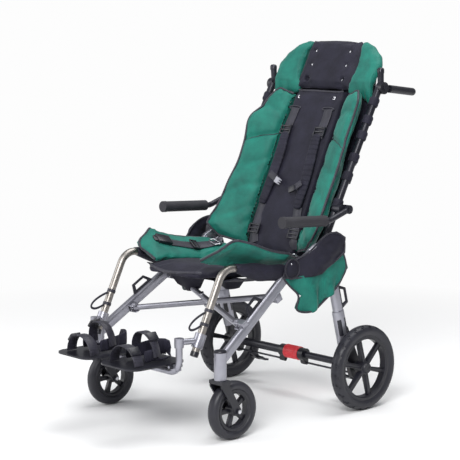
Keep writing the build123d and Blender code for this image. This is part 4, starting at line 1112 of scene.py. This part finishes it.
# Frame trims: caster caps and nuts, hanger tubes with plugs and straps, head posts
for side, sign in sides:
    body = f"{side}_frame"
    bm = bmesh.new()
    cap = [(-2, 20.4), (1, 20.6), (4.6, 18), (5.6, 12), (5.8, 0)]
    addLathe(bm, cap, pt(sign * casterWheel["x"], -336.5, 290.2), zAxis, 32)
    addPiece(f"casterCap_{side}", bm, "black_plastic", body, sharp=40)
    bm = bmesh.new()
    for reach in (-1, 1):
        spot = pt(sign * casterWheel["x"] + reach * 35.2, casterWheel["y"], casterWheel["z"])
        addLathe(bm, [(-1, 7.4), (2.6, 7.4), (3.6, 6), (3.8, 0)], spot, xAxis * reach, 6)
    addPiece(f"casterNuts_{side}", bm, "steel", f"{side}_caster", sharp=30)
    hang = [pt(sign * 250.4, -205, 533.5), pt(sign * 250, -266, 542), pt(sign * 250, -391.5, 275)]
    bm = bmesh.new()
    addTube(bm, bendRun(hang, 58), 12.7, sides=6, order=2)
    addPiece(f"hangerTube_{side}", bm, "chrome", body, [f"leg_hanger_{side}"], sharp=50)
    down = (hang[2] - hang[1]).normalized()
    bm = bmesh.new()
    addLathe(bm, [(-14, 12.9), (-13, 13.4), (1, 13.4), (2.4, 11), (2.6, 0)], hang[2], down, 28)
    addPiece(f"hangerPlug_{side}", bm, "black_plastic", body, sharp=50)
    bm = bmesh.new()
    ring = [(-5, 12.9), (-5, 14.4), (5, 14.4), (5, 12.9)]
    for up in (104, 150):
        addLathe(bm, ring, hang[2] - down * (up * mm), down, 24, closed=True)
    run = [pt(sign * x, y, z) for x, y, z in (
        (250, -341, 408), (251, -362, 403), (253, -398, 388), (253, -418, 367), (251, -401, 357),
        (250, -378, 361), (250, -361, 368),
    )]
    addRibbon(bm, smoothRun(run), xAxis, 8, 2)
    addPiece(f"hangerStrap_{side}", bm, "webbing", f"{side}_footrest", sharp=50)
    bm = bmesh.new()
    post = [pt(sign * x, y, z) for x, y, z in ((263, 452, 1094), (264, 451, 1125), (265, 449, 1150))]
    addTube(bm, post, 11, sides=4)
    addLathe(bm, [(-8, 12.4), (5, 12.4), (10, 9), (12, 0)], post[-1], zAxis, 24)
    addPiece(f"headPost_{side}", bm, "black_metal", f"{side}_back", sharp=50)
print("trims made")

# Stage: pale seamless floor, soft studio lights, camera matched to the photograph
bm = bmesh.new()
bmesh.ops.create_grid(bm, x_segments=1, y_segments=1, size=30)
floor = addObject("floor", meshFrom("floor", bm))
mat = newLook("white studio floor")
spot = addNode(mat, "TexCoord").outputs["Object"]
far = addNode(mat, "VectorMath", {0: spot}, operation="LENGTH").outputs["Value"]
fade = mapRange(mat, far, 0.9, 2.6)
seen = addNode(mat, "Math", {0: fade, 1: addNode(mat, "LightPath")}, operation="MULTIPLY")
matt = addNode(mat, "BsdfDiffuse", {"Color": hexColour("#F4F4F4")})
glow = addNode(mat, "Emission", {"Color": hexColour("#FDFDFD"), "Strength": 1.0})
both = addNode(mat, "MixShader", {0: seen, 1: matt, 2: glow})
addNode(mat, "OutputMaterial", {"Surface": both})
floor.data.materials.append(mat)

world = bpy.data.worlds.new("studio")
scene.world = world
world.use_nodes = True
world.node_tree.nodes.clear()
fill = addNode(world, "Background", {"Color": hexColour("#F2F4F8"), "Strength": 0.36})
plain = addNode(world, "Background", {"Color": hexColour("#FDFDFD"), "Strength": 1.0})
both = addNode(world, "MixShader", {0: addNode(world, "LightPath"), 1: fill, 2: plain})
addNode(world, "OutputWorld", {"Surface": both})


def aim(holder, place, target):
    holder.location = place
    holder.rotation_euler = (Vector(target) - holder.location).to_track_quat("-Z", "Y").to_euler()


lamps = {
    "key": {"at": (2.6, -3.4, 3.4), "size": 2.0, "power": 190},
    "fill": {"at": (-3.0, -3.0, 2.2), "size": 3.0, "power": 80},
    "top": {"at": (0.4, 0.8, 3.8), "size": 2.6, "power": 90},
}
for name, lamp in lamps.items():
    light = bpy.data.lights.new(name, "AREA")
    light.shape = "SQUARE"
    light.size = lamp["size"]
    light.energy = lamp["power"]
    holder = addObject(name, light)
    aim(holder, lamp["at"], (0, 0, 0.5))

lens = bpy.data.cameras.new("camera")
lens.lens = 120.507
lens.sensor_width = 36
lens.shift_x = -0.04037
lens.shift_y = 0.00096
camera = addObject("camera", lens)
aim(camera, (3.8413, -3.5006, 1.3205), (0, 0.0765, 0.6054))
scene.camera = camera
scene.view_settings.view_transform = "Standard"
print("stage set")
